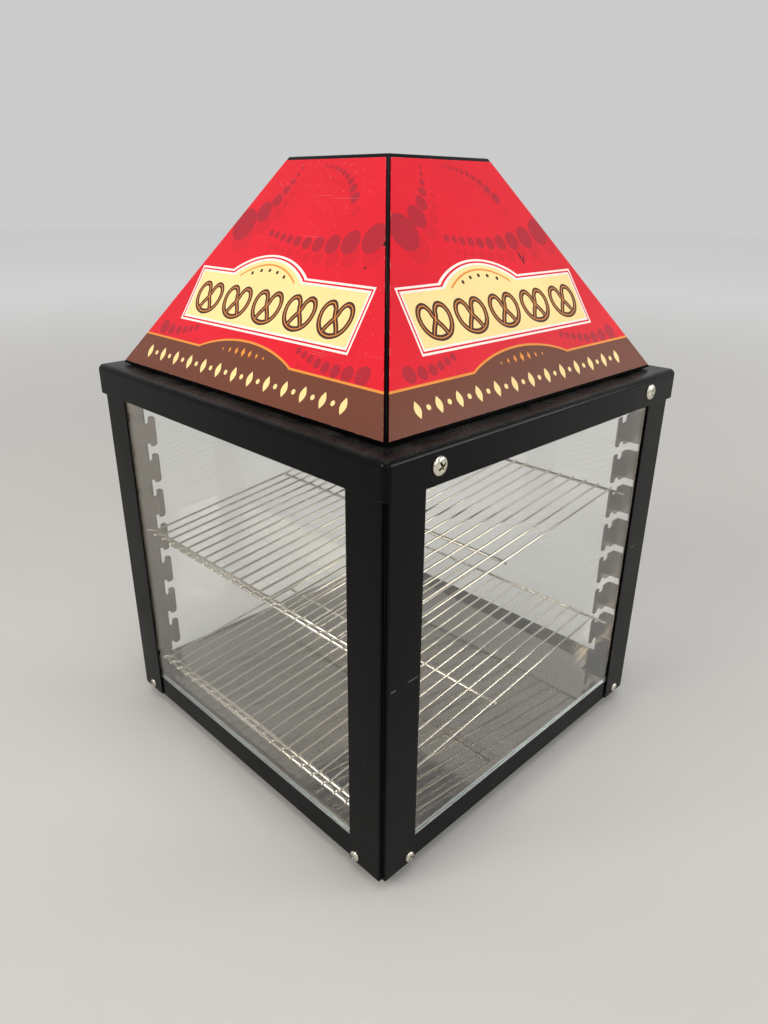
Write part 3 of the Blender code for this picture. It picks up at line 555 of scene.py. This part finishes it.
def buildHood():
    bm = bmesh.new()
    bmesh.ops.create_cone(
        bm, cap_ends=True, segments=4, radius1=hoodHalf * 2 ** 0.5, radius2=hoodValues["topHalf"] * 2 ** 0.5,
        depth=hoodHigh.z - hoodLow.z,
        matrix=Matrix.Translation((0, 0, (hoodLow.z + hoodHigh.z) / 2)) @ Matrix.Rotation(pi / 4, 4, "Z"),
    )
    bmesh.ops.recalc_face_normals(bm, faces=bm.faces)
    bmesh.ops.delete(bm, geom=[face for face in bm.faces if face.normal.z < -0.9], context="FACES_ONLY")
    folds = [edge for edge in bm.edges if not edge.is_boundary]
    bmesh.ops.bevel(
        bm, geom=folds, offset=hoodValues["foldRadius"], segments=hoodValues["segments"], profile=0.5,
        affect="EDGES",
    )
    return standPiece(
        "folded_hood", bm, [powderCoat], "case", ("hood_shell",), skin=hoodValues["wall"]
    )


buildHood()


# glass

# name, body and the axis each pane faces along
for paneName, paneBody, paneAxis in (
    ("front", "case", 1), ("left", "case", 0), ("right", "case", 0), ("door", "rear_door", 1),
):
    softenedCopy(
        f"{paneName}_glass", f"{paneName}_glass_pane", clearGlass, 0, paneBody,
        edgeMaterial=glassEdge, axis=paneAxis,
    )
for paneName in ("front", "left", "right"):
    softenedCopy(
        f"{paneName}_glazing_channel", f"{paneName}_glass_channel", channelAluminium,
        0.0003,
    )
softenedCopy("floor_pan", "polished_floor_pan", floorSteel, 0.0003)
print("case, hood and glass stand")


# rack brackets: a strip cut flat, then folded twice

bracketValues = {
    "thickness": 0.0012, "foldRadius": 0.0021, "leg": 0.0293, "foldSteps": 6,
    "notches": 8, "notchPitch": 0.0395, "mouth": 0.0080,
    "topNotchDown": {"front": 0.0152, "rear": 0.0120},
    "tab": 0.0070, "seat": 0.0098, "seatDown": 0.0110, "seatUp": 0.0078, "slotEnd": 0.0132,
    "flare": 0.0022, "bendRadius": 0.0014, "tabRadius": 0.0012, "upRadius": 0.0026, "downRadius": 0.0030,
    "slotRadius": 0.0015, "cornerRadius": 0.0008,
}


# a test for what lies inside an outline
def within(outline):
    pairs = list(zip(outline, outline[1:] + outline[:1]))

    def test(spot):
        crossings = sum(
            (a.y > spot.y) != (b.y > spot.y) and spot.x < a.x + (spot.y - a.y) / (b.y - a.y) * (b.x - a.x)
            for a, b in pairs
        )
        return crossings % 2 == 1
    return test


def notchPath(z):
    # from the free edge into the slot and back out, upper side first
    v = bracketValues
    mouth, near = v["mouth"] / 2, v["tab"]
    far = near + v["seat"]
    flare, bend, tight = v["flare"], v["bendRadius"], v["tabRadius"]
    upper = [(0, mouth + flare, 0), (flare, mouth, bend), (near, mouth, tight)]
    upper += [(near, v["seatUp"], v["upRadius"]), (far, v["seatUp"], v["upRadius"]), (far, mouth, bend)]
    lower = [(far, -mouth, bend), (far, -v["seatDown"], v["downRadius"])]
    lower += [(near, -v["seatDown"], v["downRadius"]), (near, -mouth, tight)]
    lower += [(flare, -mouth, bend), (0, -mouth - flare, 0)]
    return [[(s, z + up, radius) for s, up, radius in path] for path in (upper, lower)]


def buildBracket(end, side):
    v = bracketValues
    node = f"{end}_{side}_rack_bracket"
    low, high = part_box(node)
    reach = max(abs(low.x), abs(high.x)) - min(abs(low.x), abs(high.x))
    depth = max(abs(low.y), abs(high.y)) - min(abs(low.y), abs(high.y))
    innerX, webY = min(abs(low.x), abs(high.x)), max(abs(low.y), abs(high.y))
    radius, arcLength = v["foldRadius"], v["foldRadius"] * pi / 2
    legLength, webLength, sideLength = depth - radius, reach - 2 * radius, v["leg"] - radius
    folds = [legLength, legLength + arcLength, legLength + arcLength + webLength]
    folds.append(folds[-1] + arcLength)
    total = folds[-1] + sideLength
    slotEnd = folds[1] + v["slotEnd"] - radius

    # the flat outline, anticlockwise from the bottom of the notched edge
    ring = ((0, low.z), (total, low.z), (total, high.z), (0, high.z))
    corners = [(s, z, v["cornerRadius"]) for s, z in ring]
    for number in range(v["notches"]):
        z = high.z - v["topNotchDown"][end] - v["notchPitch"] * number
        upper, lower = notchPath(z)
        slot = [(slotEnd, z + half, v["slotRadius"]) for half in (v["mouth"] / 2, -v["mouth"] / 2)]
        corners += upper + slot + lower
    outline = roundedOutline(corners, 4)

    points = [Vector(p) for p in outline]
    edges = [(index, (index + 1) % len(points)) for index in range(len(points))]
    for start in (folds[0], folds[2]):
        for step in range(v["foldSteps"] + 1):
            s = start + arcLength * step / v["foldSteps"]
            edges.append((len(points), len(points) + 1))
            points += [Vector((s, low.z)), Vector((s, high.z))]
    verts, _, faces, *_ = delaunay_2d_cdt(points, edges, [], 0, 1e-7)

    def folded(s):
        # where the strip's outer skin runs, seen from above
        if s <= folds[0]:
            return innerX, webY - depth + s
        if s <= folds[1]:
            angle = (s - folds[0]) / radius
            return innerX + radius * (1 - cos(angle)), webY - radius + radius * sin(angle)
        if s <= folds[2]:
            return innerX + radius + s - folds[1], webY
        if s <= folds[3]:
            angle = (s - folds[2]) / radius
            return innerX + reach - radius + radius * sin(angle), webY - radius + radius * cos(angle)
        return innerX + reach, webY - radius - (s - folds[3])

    flipX, flipY = (1 if side == "right" else -1), (1 if end == "rear" else -1)
    bm = bmesh.new()
    spots = []
    for point in verts:
        x, y = folded(point.x)
        spots.append(bm.verts.new((x * flipX, y * flipY, point.y)))
    onStrip = within(outline)
    for face in faces:
        if onStrip(sum((verts[i] for i in face), Vector((0, 0))) / len(face)):
            bm.faces.new([spots[i] for i in face])
    bmesh.ops.delete(bm, geom=[vert for vert in bm.verts if not vert.link_faces], context="VERTS")
    bmesh.ops.recalc_face_normals(bm, faces=bm.faces)
    # the skin is the outside of the folds, so its normals point at the middle of the case on the notched leg
    legFace = max(bm.faces, key=lambda face: -abs(face.calc_center_median().x))
    if legFace.normal.x * flipX > 0:
        bmesh.ops.reverse_faces(bm, faces=bm.faces)
    thicken(bm, v["thickness"])
    return standPiece(f"notched_{node}", bm, [bracketSteel], "case", (node,), sharpAngle=40)


def thicken(bm, thickness):
    # closes an open sheet with a second skin behind it and walls round its edges
    bm.normal_update()
    front = list(bm.faces)
    rims = [edge for edge in bm.edges if edge.is_boundary]
    behind = {vert: bm.verts.new(vert.co - vert.normal * thickness) for vert in list(bm.verts)}
    for face in front:
        bm.faces.new([behind[vert] for vert in reversed(face.verts)])
    for edge in rims:
        loop = edge.link_loops[0]
        start, end = loop.vert, loop.link_loop_next.vert
        wall = bm.faces.new((end, start, behind[start], behind[end]))
        wall.material_index = loop.face.material_index


for endName, _ in ends:
    for sideName, _ in sides:
        buildBracket(endName, sideName)
print("brackets stand")


# wire racks

rackValues = {
    "rodRadius": 0.0017, "wireRadius": 0.00115, "wires": 22, "halfWidth": 0.1610, "rodEnd": 0.1780,
    "rearY": 0.1770, "middleY": -0.0060, "bendY": -0.1790, "lipY": -0.1872, "lipRise": 0.0030,
    "tail": 0.0012, "seatDrop": 0.0088, "unevenness": 0.00015,
    "notches": {"upper_rack": (3, 4), "lower_rack": (7, 8)},  # rear and front, counted from the top
}
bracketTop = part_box("rear_left_rack_bracket")[1].z


def tubeInto(bm, points, radius, sides=12, rounded=True):
    # a round bar along points, with slightly rounded cut ends
    rings = []
    last = len(points) - 1
    normal = Vector((0, 0, 1))
    for index, point in enumerate(points):
        along = (points[min(index + 1, last)] - points[max(index - 1, 0)]).normalized()
        across = along.cross(normal).normalized() if abs(along.dot(normal)) < 0.95 else Vector((1, 0, 0))
        over = across.cross(along).normalized()
        steps = [(0, 1.0)]
        if rounded and index == 0:
            steps = [(-0.35, 0.55), (-0.2, 0.85), (0, 1.0)]
        if rounded and index == last:
            steps = [(0, 1.0), (0.2, 0.85), (0.35, 0.55)]
        for shift, size in steps:
            centre = point + along * (shift * radius)
            rings.append([
                bm.verts.new(centre + (across * cos(a) + over * sin(a)) * (radius * size))
                for a in (2 * pi * k / sides for k in range(sides))
            ])
    for lower, upper in zip(rings, rings[1:]):
        for k in range(sides):
            after = (k + 1) % sides
            bm.faces.new((lower[k], lower[after], upper[after], upper[k]))
    bm.faces.new(rings[0][::-1])
    bm.faces.new(rings[-1])


def weldInto(bm, place, radius):
    # the small squashed bead where a wire is welded to a rod
    squash = Matrix.Diagonal((1.15, 1.15, 0.6, 1))
    bmesh.ops.create_icosphere(bm, subdivisions=2, radius=radius, matrix=Matrix.Translation(place) @ squash)


def buildRack(node):
    v = rackValues
    down, pitch = bracketValues["topNotchDown"], bracketValues["notchPitch"]
    rearZ, bendZ = (
        bracketTop - down[end] - pitch * (number - 1) - v["seatDrop"]
        for end, number in zip(("rear", "front"), v["notches"][node])
    )
    slope = (rearZ - bendZ) / (v["rearY"] - v["bendY"])
    rod, wire = v["rodRadius"], v["wireRadius"]
    lipZ = bendZ + v["lipRise"]
    rods = [
        (v["rearY"], rearZ, v["rodEnd"]), (v["bendY"], bendZ, v["rodEnd"]),
        (v["middleY"], bendZ + slope * (v["middleY"] - v["bendY"]), v["halfWidth"] + wire * 2),
        (v["lipY"], lipZ, v["halfWidth"] + 0.0019),
    ]
    bm = bmesh.new()
    for y, z, end in rods:
        tubeInto(bm, [Vector((-end, y, z)), Vector((end, y, z))], rod, 20)
    lift = rod + wire * 0.6
    for number in range(v["wires"]):
        x = -v["halfWidth"] + 2 * v["halfWidth"] * number / (v["wires"] - 1)
        stray = v["unevenness"] * sin(number * 2.4)
        tailY = v["rearY"] + v["tail"] + stray
        points = [Vector((x + stray * 0.5, tailY, rearZ + slope * (tailY - v["rearY"]) + lift))]
        points.append(Vector((x, v["middleY"], rods[2][1] + lift)))
        points.append(Vector((x, v["bendY"] + 0.004, bendZ + slope * 0.004 + lift)))
        points.append(Vector((x, v["bendY"] + 0.001, bendZ + lift)))
        # down between the two rods, up and over the lip
        for step in range(9):
            share = step / 8
            y = v["bendY"] - 0.0010 + (v["lipY"] - v["bendY"] - 0.0006) * share
            dip = -0.0009 * sin(pi * min(1.0, share * 1.6))
            rise = v["lipRise"] * (share * share * (3 - 2 * share))
            points.append(Vector((x, y, bendZ + lift + dip + rise)))
        points.append(Vector((x, v["lipY"] - 0.0030, lipZ + lift * 0.55)))
        tubeInto(bm, points, wire, 10)
        for y, z, _ in rods:
            weldInto(bm, Vector((x, y, z + rod * 0.82)), wire * 1.1)
    return standPiece(f"welded_{node}", bm, [wireSteel], node, (node,), sharpAngle=50)


for rackName in rackValues["notches"]:
    buildRack(rackName)
print("racks stand")


# screws with a cross recess

screwValues = {
    "post": {"head": 0.0048, "height": 0.0028, "shank": 0.0018, "length": 0.0072, "cross": 0.0031},
    "cap": {"head": 0.0073, "height": 0.0036, "shank": 0.0028, "length": 0.0088, "cross": 0.0048},
    "knob": {"head": 0.0042, "height": 0.0022, "shank": 0.0019, "length": 0.0098, "cross": 0.0024},
}


def screwMesh(kind):
    v = screwValues[kind]
    rim = v["height"] * 0.32
    shank, length, top = v["shank"], v["length"], v["head"]
    profile = [(0, -length), (shank * 0.8, -length), (shank, -length * 0.93), (shank, 0)]
    profile += [(top * 0.96, 0), (top, rim * 0.25), (top, rim * 0.7)]
    profile += [
        (top * cos(radians(angle)), rim + (v["height"] - rim) * sin(radians(angle)))
        for angle in (8, 20, 32, 44, 56, 68, 79, 90)
    ]
    profile[-1] = (0, v["height"])
    bm = bmesh.new()
    turnInto(bm, profile, 40)
    bmesh.ops.recalc_face_normals(bm, faces=bm.faces)
    solid = bpy.data.meshes.new(kind + "ScrewHead")
    bm.to_mesh(solid)
    bm.free()
    # four tapering wings cut into the dome
    wings = bmesh.new()
    upright = Matrix(((1, 0, 0, 0), (0, 0, 1, 0), (0, 1, 0, 0), (0, 0, 0, 1)))
    for turn in (0, pi / 2):
        section = [(-v["cross"], v["height"] * 1.3), (-v["cross"] * 0.45, -v["height"] * 0.1)]
        section += [(-y, z) for y, z in reversed(section)]
        half = v["cross"] * 0.19
        extrudeInto(wings, section, -half, half, Matrix.Rotation(turn, 4, "Z") @ upright)
    bmesh.ops.recalc_face_normals(wings, faces=wings.faces)
    cutterMesh = bpy.data.meshes.new("crossCutter")
    wings.to_mesh(cutterMesh)
    wings.free()
    head = bpy.data.objects.new("screwHead", solid)
    cutter = bpy.data.objects.new("crossCutter", cutterMesh)
    scene.collection.objects.link(head)
    scene.collection.objects.link(cutter)
    recess = head.modifiers.new("recess", "BOOLEAN")
    recess.object = cutter
    recess.use_self = True
    made = bpy.data.meshes.new_from_object(head.evaluated_get(bpy.context.evaluated_depsgraph_get()))
    bpy.data.objects.remove(head)
    bpy.data.objects.remove(cutter)
    return made


screwMeshes = {kind: screwMesh(kind) for kind in screwValues}


def placeScrew(node, kind, outward, turn, body="case"):
    # the head's seat is found from the node's own box, along the way it faces
    low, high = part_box(node)
    outward = Vector(outward)
    middle = (low + high) / 2
    tip = max(high.dot(outward), low.dot(outward))
    seat = middle - outward * middle.dot(outward) + outward * (tip - screwValues[kind]["height"])
    bm = bmesh.new()
    bm.from_mesh(screwMeshes[kind])
    facing = outward.to_track_quat("Z", "Y").to_matrix().to_4x4() @ Matrix.Rotation(turn, 4, "Z")
    bmesh.ops.transform(bm, matrix=Matrix.Translation(seat) @ facing, verts=bm.verts)
    return standPiece(f"{node}_turned", bm, [screwZinc], body, (node,), sharpAngle=32)


turnCount = 0
for sideName, sideSign in sides:
    for endName, endSign in ends:
        turnCount += 1
        placeScrew(f"{sideName}_{endName}_cap_screw", "cap", (sideSign, 0, 0), 0.7 * turnCount)
        placeScrew(f"{sideName}_{endName}_post_screw", "post", (0, endSign, 0), 0.9 * turnCount)
        placeScrew(f"{sideName}_side_{endName}_post_screw", "post", (sideSign, 0, 0), 1.1 * turnCount)
placeScrew("knob_screw", "knob", (0, -1, 0), 0.4, "rear_door")


# feet, knob and the door's small metal parts

# shares of the foot's radius and height, from the bench up
footProfile = [(0, 0), (0.55, 0), (0.58, 0.08), (0.72, 0.08), (0.76, 0.0), (0.80, 0.03), (0.86, 0.5)]
footProfile += [(0.93, 0.86), (1.0, 0.95), (1.0, 1.0), (0, 1.0)]
for endName, _ in ends:
    for sideName, _ in sides:
        footNode = f"{endName}_{sideName}_foot"
        footLow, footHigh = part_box(footNode)
        footRadius, footHeight = (footHigh.x - footLow.x) / 2, footHigh.z - footLow.z
        footMiddle = (footLow + footHigh) / 2
        footPlace = Matrix.Translation((footMiddle.x, footMiddle.y, footLow.z))
        footMesh = bmesh.new()
        turnInto(footMesh, [(r * footRadius, z * footHeight) for r, z in footProfile], 48, footPlace)
        standPiece(f"rubber_{footNode}", footMesh, [footRubber], "case", (footNode,))

knobLow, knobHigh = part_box("door_knob")
knobReach = knobHigh.y - knobLow.y
# radius, and share of the knob's reach out from the glass
knobProfile = [(0, 0), (0.0064, 0), (0.0062, 0.05), (0.0052, 0.25), (0.0056, 0.40), (0.0070, 0.55)]
knobProfile += [(0.0084, 0.66), (0.0088, 0.73), (0.0088, 0.80), (0.0085, 0.87), (0.0078, 0.93)]
knobProfile += [(0.0064, 0.975), (0.0045, 0.99), (0, 1.0)]
knobMesh = bmesh.new()
knobMiddle = (knobLow + knobHigh) / 2
knobPlace = Matrix.Translation((knobMiddle.x, knobLow.y, knobMiddle.z)) @ Matrix.Rotation(-pi / 2, 4, "X")
turnInto(knobMesh, [(r, z * knobReach) for r, z in knobProfile], 56, knobPlace)
standPiece(
    "turned_door_knob", knobMesh, [channelAluminium], "rear_door", ("door_knob",)
)

for clipName in ("lower_hinge_clip", "upper_hinge_clip"):
    softenedCopy(clipName, clipName + "_eased", bracketSteel, 0.0003, body="rear_door")
softenedCopy("upper_hinge_arm", "upper_hinge_arm_eased", bracketSteel, 0.0002)
for pinName in ("lower_hinge_pin", "upper_hinge_pin"):
    softenedCopy(pinName, pinName + "_turned", screwZinc, 0.0001)
softenedCopy("door_strike_plate", "strike_plate_eased", screwZinc, 0.0001, body="rear_door")
softenedCopy("catch_magnet", "catch_magnet_moulded", magnetPlastic, 0.0003)
print("screws, feet and door parts stand")


# printed signs, worked out flat in millimetres: across from the middle, and up the slope

signValues = {
    "sideInset": 2.2, "lowInset": 2.0, "highInset": 4.0, "clear": 0.3, "thickness": 0.6,
    "bandTop": 33.4, "archRise": 13.3, "archHalf": 64.0, "centre": -6.0, "lineWidth": 1.9,
    "plaque": (-112.0, 108.0, 60.0, 104.0), "plaqueArch": 46.0, "plaqueRise": 17.0, "archLeft": 16,
    "motifs": 25, "motifLow": 11.0, "motifHigh": 24.5,
    "pretzels": 5, "pretzelSize": 17.0, "strand": 5.0,
    "strings": [  # start, end, bow, first and last radius
        ((-34, 208), (-84, 152), 9.0, 1.6, 15.5), ((-4, 210), (52, 176), 8.0, 1.4, 5.2),
        ((-38, 146), (92, 148), -8.0, 3.0, 12.5), ((60, 50), (150, 44), -6.0, 3.0, 8.5),
        ((-86, 50), (-152, 46), 5.0, 3.0, 8.0),
    ],
}


def ringPoints(x, y, radius, count=40, tall=1.0):
    angles = [2 * pi * k / count for k in range(count)]
    return [Vector((x + radius * cos(angle), y + radius * tall * sin(angle))) for angle in angles]


def archHeight(across, half, rise):
    # a low arch, rising from level at its ends
    share = min(1.0, abs(across) / half)
    return rise * (1 - share * share) ** 0.9


def plaqueOutline(grow):
    left, right, low, high = signValues["plaque"]
    middle = (left + right) / 2 - signValues["archLeft"]
    half, rise = signValues["plaqueArch"] + grow, signValues["plaqueRise"]
    points = [Vector((left - grow, low - grow)), Vector((right + grow, low - grow))]
    points.append(Vector((right + grow, high + grow)))
    for step in range(33):
        across = half * (1 - 2 * step / 32)
        points.append(Vector((middle + across, high + grow + archHeight(across, half, rise))))
    points.append(Vector((left - grow, high + grow)))
    return points


def bandOutline(halfWidth, lift):
    v = signValues
    top = v["bandTop"] + lift
    points = [Vector((-halfWidth, -5)), Vector((halfWidth, -5)), Vector((halfWidth, top))]
    for step in range(41):
        across = v["archHalf"] * (1 - 2 * step / 40)
        points.append(Vector((v["centre"] + across, top + archHeight(across, v["archHalf"], v["archRise"]))))
    points.append(Vector((-halfWidth, top)))
    return points


# half of a twisted loop of dough, from its tip across the middle and round, for a size of 1
doughHalf = [(0.46, -0.66), (0.30, -0.38), (0.06, -0.06), (-0.10, 0.22), (-0.20, 0.50), (-0.46, 0.72),
             (-0.80, 0.62), (-1.00, 0.22), (-0.92, -0.30), (-0.58, -0.70), (0.0, -0.86)]


def smoothPath(points, steps=6):
    ends = [points[0] * 2 - points[1], *points, points[-1] * 2 - points[-2]]
    path = []
    for a, b, c, d in zip(ends, ends[1:], ends[2:], ends[3:]):
        for step in range(steps):
            s = step / steps
            square, cube = a * 2 - b * 5 + c * 4 - d, b * 3 - a - c * 3 + d
            path.append((b * 2 + (c - a) * s + square * s * s + cube * s ** 3) / 2)
    return [*path, points[-1]]


def doughPath(x, y, size):
    half = [Vector(point) for point in doughHalf]
    whole = half + [Vector((-p.x, p.y)) for p in reversed(half[:-1])]
    return smoothPath([Vector((x, y)) + p * size for p in whole])


def strandShape(path, width):
    # both edges of a strand, and the test for what lies within it
    left, right = [], []
    for index, point in enumerate(path):
        along = (path[min(index + 1, len(path) - 1)] - path[max(index - 1, 0)]).normalized()
        side = Vector((-along.y, along.x)) * (width / 2)
        left.append(point + side)
        right.append(point - side)
    return left + right[::-1], lambda spot: any(
        (spot - closest(spot, a, b)).length < width / 2 for a, b in zip(path, path[1:])
    )


def closest(spot, start, end):
    found, share = intersect_point_line(spot, start, end)
    return start if share < 0 else end if share > 1 else found.to_2d()


def signShapes(halfAt):
    # (ink, outline, test), in the order they are printed
    v = signValues
    shapes = []

    def add(ink, outline, test=None):
        shapes.append((ink, outline, test or within(outline)))

    # strings of berries that swell and shrink, and their paler shadows lower down
    for shiftX, shiftY, shade, ink in ((7.0, -12.0, 0.92, "ghost"), (0.0, 0.0, 1.0, "berry")):
        for start, end, bow, small, big in v["strings"]:
            start, end = Vector(start), Vector(end)
            length = (end - start).length
            side = Vector((start.y - end.y, end.x - start.x)) / length * bow
            share = 0.0
            while share <= 1.0:
                radius = small + (big - small) * share ** 1.4
                spot = start.lerp(end, share) + side * sin(pi * share)
                add(ink, ringPoints(spot.x + shiftX, spot.y + shiftY, radius * shade, 36, 1.05))
                share += (radius * 2.2 + (big - small) * 0.12 + 1.0) / length

    for grow, ink in ((5.2, "white"), (3.4, "red"), (1.9, "white"), (0.0, "cream")):
        add(ink, plaqueOutline(grow))
    left, right, low, high = v["plaque"]
    middle = (left + right) / 2 - v["archLeft"]
    arc = [Vector((middle + a, high - 3 + archHeight(a, 41.0, 16.0))) for a in range(-38, 39, 2)]
    add("amber", *strandShape(arc, 1.6))
    for k in range(5):
        a = 11.0 * (k - 2)
        add("cocoa", ringPoints(middle + a, high - 8 + archHeight(a, 41.0, 16.0), 1.7, 20))
    for k in range(v["pretzels"]):
        x = left + 24 + (right - left - 48) * k / (v["pretzels"] - 1)
        path = doughPath(x, low + 20.5, v["pretzelSize"])
        add("cocoa", *strandShape(path, v["strand"]))
        add("amber", *strandShape(path, v["strand"] * 0.16))

    wide = halfAt(0) + 5
    add("amber", bandOutline(wide, v["lineWidth"]))
    add("band", bandOutline(wide, 0))
    for k in range(v["motifs"]):
        x = v["centre"] + 137 * (2 * k / (v["motifs"] - 1) - 1)
        low, high = v["motifLow"], v["motifHigh"]
        if k % 2:
            add("cream", ringPoints(x, (low + high) / 2, 2.2, 20))
        else:
            middle, reach = (low + high) / 2, (high - low) / 2
            swell = [s / 8 for s in range(9)]
            grain = [Vector((x + 3.4 * sin(pi * s), middle - reach + 2 * reach * s)) for s in swell]
            grain += [Vector((x - 3.4 * sin(pi * s), middle + reach - 2 * reach * s)) for s in swell[1:-1]]
            add("cream", grain)
    for k in range(7):
        x = v["centre"] + 9.5 * (k - 3)
        size = 1.6 + 0.9 * (3 - abs(k - 3))
        y = v["bandTop"] - 1.0 + archHeight(x - v["centre"], v["archHalf"], v["archRise"]) * 0.42
        reach = size * 0.6
        add("amber", [Vector(p) for p in ((x - reach, y), (x, y - size), (x + reach, y), (x, y + size))])
    return shapes


tears = {
    "right": [[(46.5, 131.0), (48.6, 126.0), (50.5, 118.0), (49.4, 116.5), (48.2, 121.0), (46.4, 126.0)],
              [(50.2, 119.4), (53.0, 124.5), (54.6, 127.8), (52.6, 125.6), (50.0, 121.6)]],
    "front": [[(91.6, 124.2), (93.6, 123.6), (93.0, 121.4), (91.8, 122.2)],
              [(101.2, 145.6), (103.2, 144.2), (102.6, 141.2), (100.8, 142.6)]],
}


def buildSign(face, quarter):
    v = signValues
    rise, run = (hoodHigh.z - hoodLow.z) * 1000, (hoodHalf - hoodValues["topHalf"]) * 1000
    slant = hypot(rise, run)

    def halfAt(up):
        return hoodHalf * 1000 - run * up / slant - v["sideInset"]

    lowEdge, highEdge = v["lowInset"], slant - v["highInset"]
    panel = [Vector((-halfAt(lowEdge), lowEdge)), Vector((halfAt(lowEdge), lowEdge))]
    panel += [Vector((halfAt(highEdge), highEdge)), Vector((-halfAt(highEdge), highEdge))]
    onPanel = within(panel)
    shapes = signShapes(halfAt)
    for tear in tears.get(face, []):
        outline = [Vector(point) for point in tear]
        shapes.append(("torn", outline, within(outline)))
    points, edges = [], []
    for outline in [panel] + [shape[1] for shape in shapes]:
        first = len(points)
        points += outline
        edges += [(first + k, first + (k + 1) % len(outline)) for k in range(len(outline))]
    verts, _, faces, *_ = delaunay_2d_cdt(points, edges, [], 0, 1e-4)

    inkNames = list(inks)
    uphill = Vector((0, run / slant, rise / slant))
    outward = Vector((0, -rise / slant, run / slant))
    foot = Vector((0, -hoodHalf, hoodLow.z))
    spin = Matrix.Rotation(quarter * pi / 2, 4, "Z")
    lift = (v["clear"] + v["thickness"]) / 1000
    boxes = []
    for _, outline, _ in shapes:
        across, up = [p.x for p in outline], [p.y for p in outline]
        boxes.append((min(across), max(across), min(up), max(up)))
    bm = bmesh.new()
    spots = []
    for p in verts:
        flat = foot + Vector((p.x / 1000, 0, 0)) + uphill * (p.y / 1000) + outward * lift
        spots.append(bm.verts.new(spin @ flat))
    for triangle in faces:
        middle = sum((verts[i] for i in triangle), Vector((0, 0))) / 3
        if not onPanel(middle):
            continue
        ink = "red"
        for (name, _, test), (x0, x1, y0, y1) in zip(reversed(shapes), reversed(boxes)):
            if x0 <= middle.x <= x1 and y0 <= middle.y <= y1 and test(middle):
                ink = name
                break
        bm.faces.new([spots[i] for i in triangle]).material_index = inkNames.index(ink)
    bmesh.ops.delete(bm, geom=[vert for vert in bm.verts if not vert.link_faces], context="VERTS")
    bmesh.ops.recalc_face_normals(bm, faces=bm.faces)
    if sum((face.normal for face in bm.faces), Vector()).dot(spin @ outward) < 0:
        bmesh.ops.reverse_faces(bm, faces=bm.faces)
    thicken(bm, v["thickness"] / 1000)
    node = f"{face}_sign_panel"
    return standPiece(
        f"printed_{node}", bm, list(inks.values()), "case", (node,), sharpAngle=30
    )


for quarter, faceName in enumerate(("front", "right", "rear", "left")):
    buildSign(faceName, quarter)
print("signs printed")


# studio: a pale floor that pales further away into a plain backdrop, and soft lamps

studioValues = {
    "floorRadius": 12.0, "paleFrom": 0.8, "paleTo": 4.5,
    "nearColor": color(190, 188, 184), "farColor": color(252, 252, 252),
    "worldColor": color(255, 255, 255), "worldStrength": 0.60,
    "lamps": [  # name, place, aim, size, watts, color
        ("keySoftbox", (-0.5, -2.5, 2.0), (0, 0, 0.3), (1.5, 1.1), 44, color(255, 250, 242)),
        ("fillSoftbox", (2.3, -0.6, 1.5), (0, 0, 0.25), (1.2, 1.2), 9, color(246, 250, 255)),
        ("topSoftbox", (0.3, -0.2, 2.6), (0, 0, 0.2), (1.8, 1.8), 20, color(255, 255, 255)),
        ("backSoftbox", (1.9, 1.7, 1.1), (0, 0, 0.2), (1.3, 0.8), 22, color(255, 252, 246)),
    ],
}


def buildStudio():
    v = studioValues
    bm = bmesh.new()
    turnInto(bm, [(v["floorRadius"], 0), (0, 0)], 96)
    mesh = bpy.data.meshes.new("studioFloor")
    bm.to_mesh(mesh)
    bm.free()
    floor = bpy.data.objects.new("studioFloor", mesh)
    scene.collection.objects.link(floor)
    material, tree, shader = newMaterial("studioFloor", 0.55)
    place = addNode(tree, "ShaderNodeTexCoord").outputs["Object"]
    deeper = tuple(channel * 0.94 for channel in v["nearColor"][:3]) + (1.0,)
    mottled = blendColors(tree, noise(tree, place, 3.0, 3.0), v["nearColor"], deeper)
    distance = vectorCalc(tree, "LENGTH", place)["Value"]
    paling = ramp(tree, distance, v["paleFrom"], v["paleTo"])
    feed(tree, shader.inputs["Base Color"], blendColors(tree, paling, mottled, v["farColor"]))
    mesh.materials.append(material)

    world = bpy.data.worlds.new("studioWorld")
    world.use_nodes = True
    world.node_tree.nodes["Background"].inputs["Color"].default_value = v["worldColor"]
    world.node_tree.nodes["Background"].inputs["Strength"].default_value = v["worldStrength"]
    scene.world = world
    for name, place, aim, size, watts, tone in v["lamps"]:
        lamp = bpy.data.lights.new(name, "AREA")
        lamp.shape = "RECTANGLE"
        lamp.size, lamp.size_y = size
        lamp.energy = watts
        lamp.color = tone[:3]
        holder = bpy.data.objects.new(name, lamp)
        holder.location = place
        holder.rotation_euler = (Vector(aim) - Vector(place)).to_track_quat("-Z", "Y").to_euler()
        scene.collection.objects.link(holder)


buildStudio()
scene.view_settings.view_transform = "Standard"
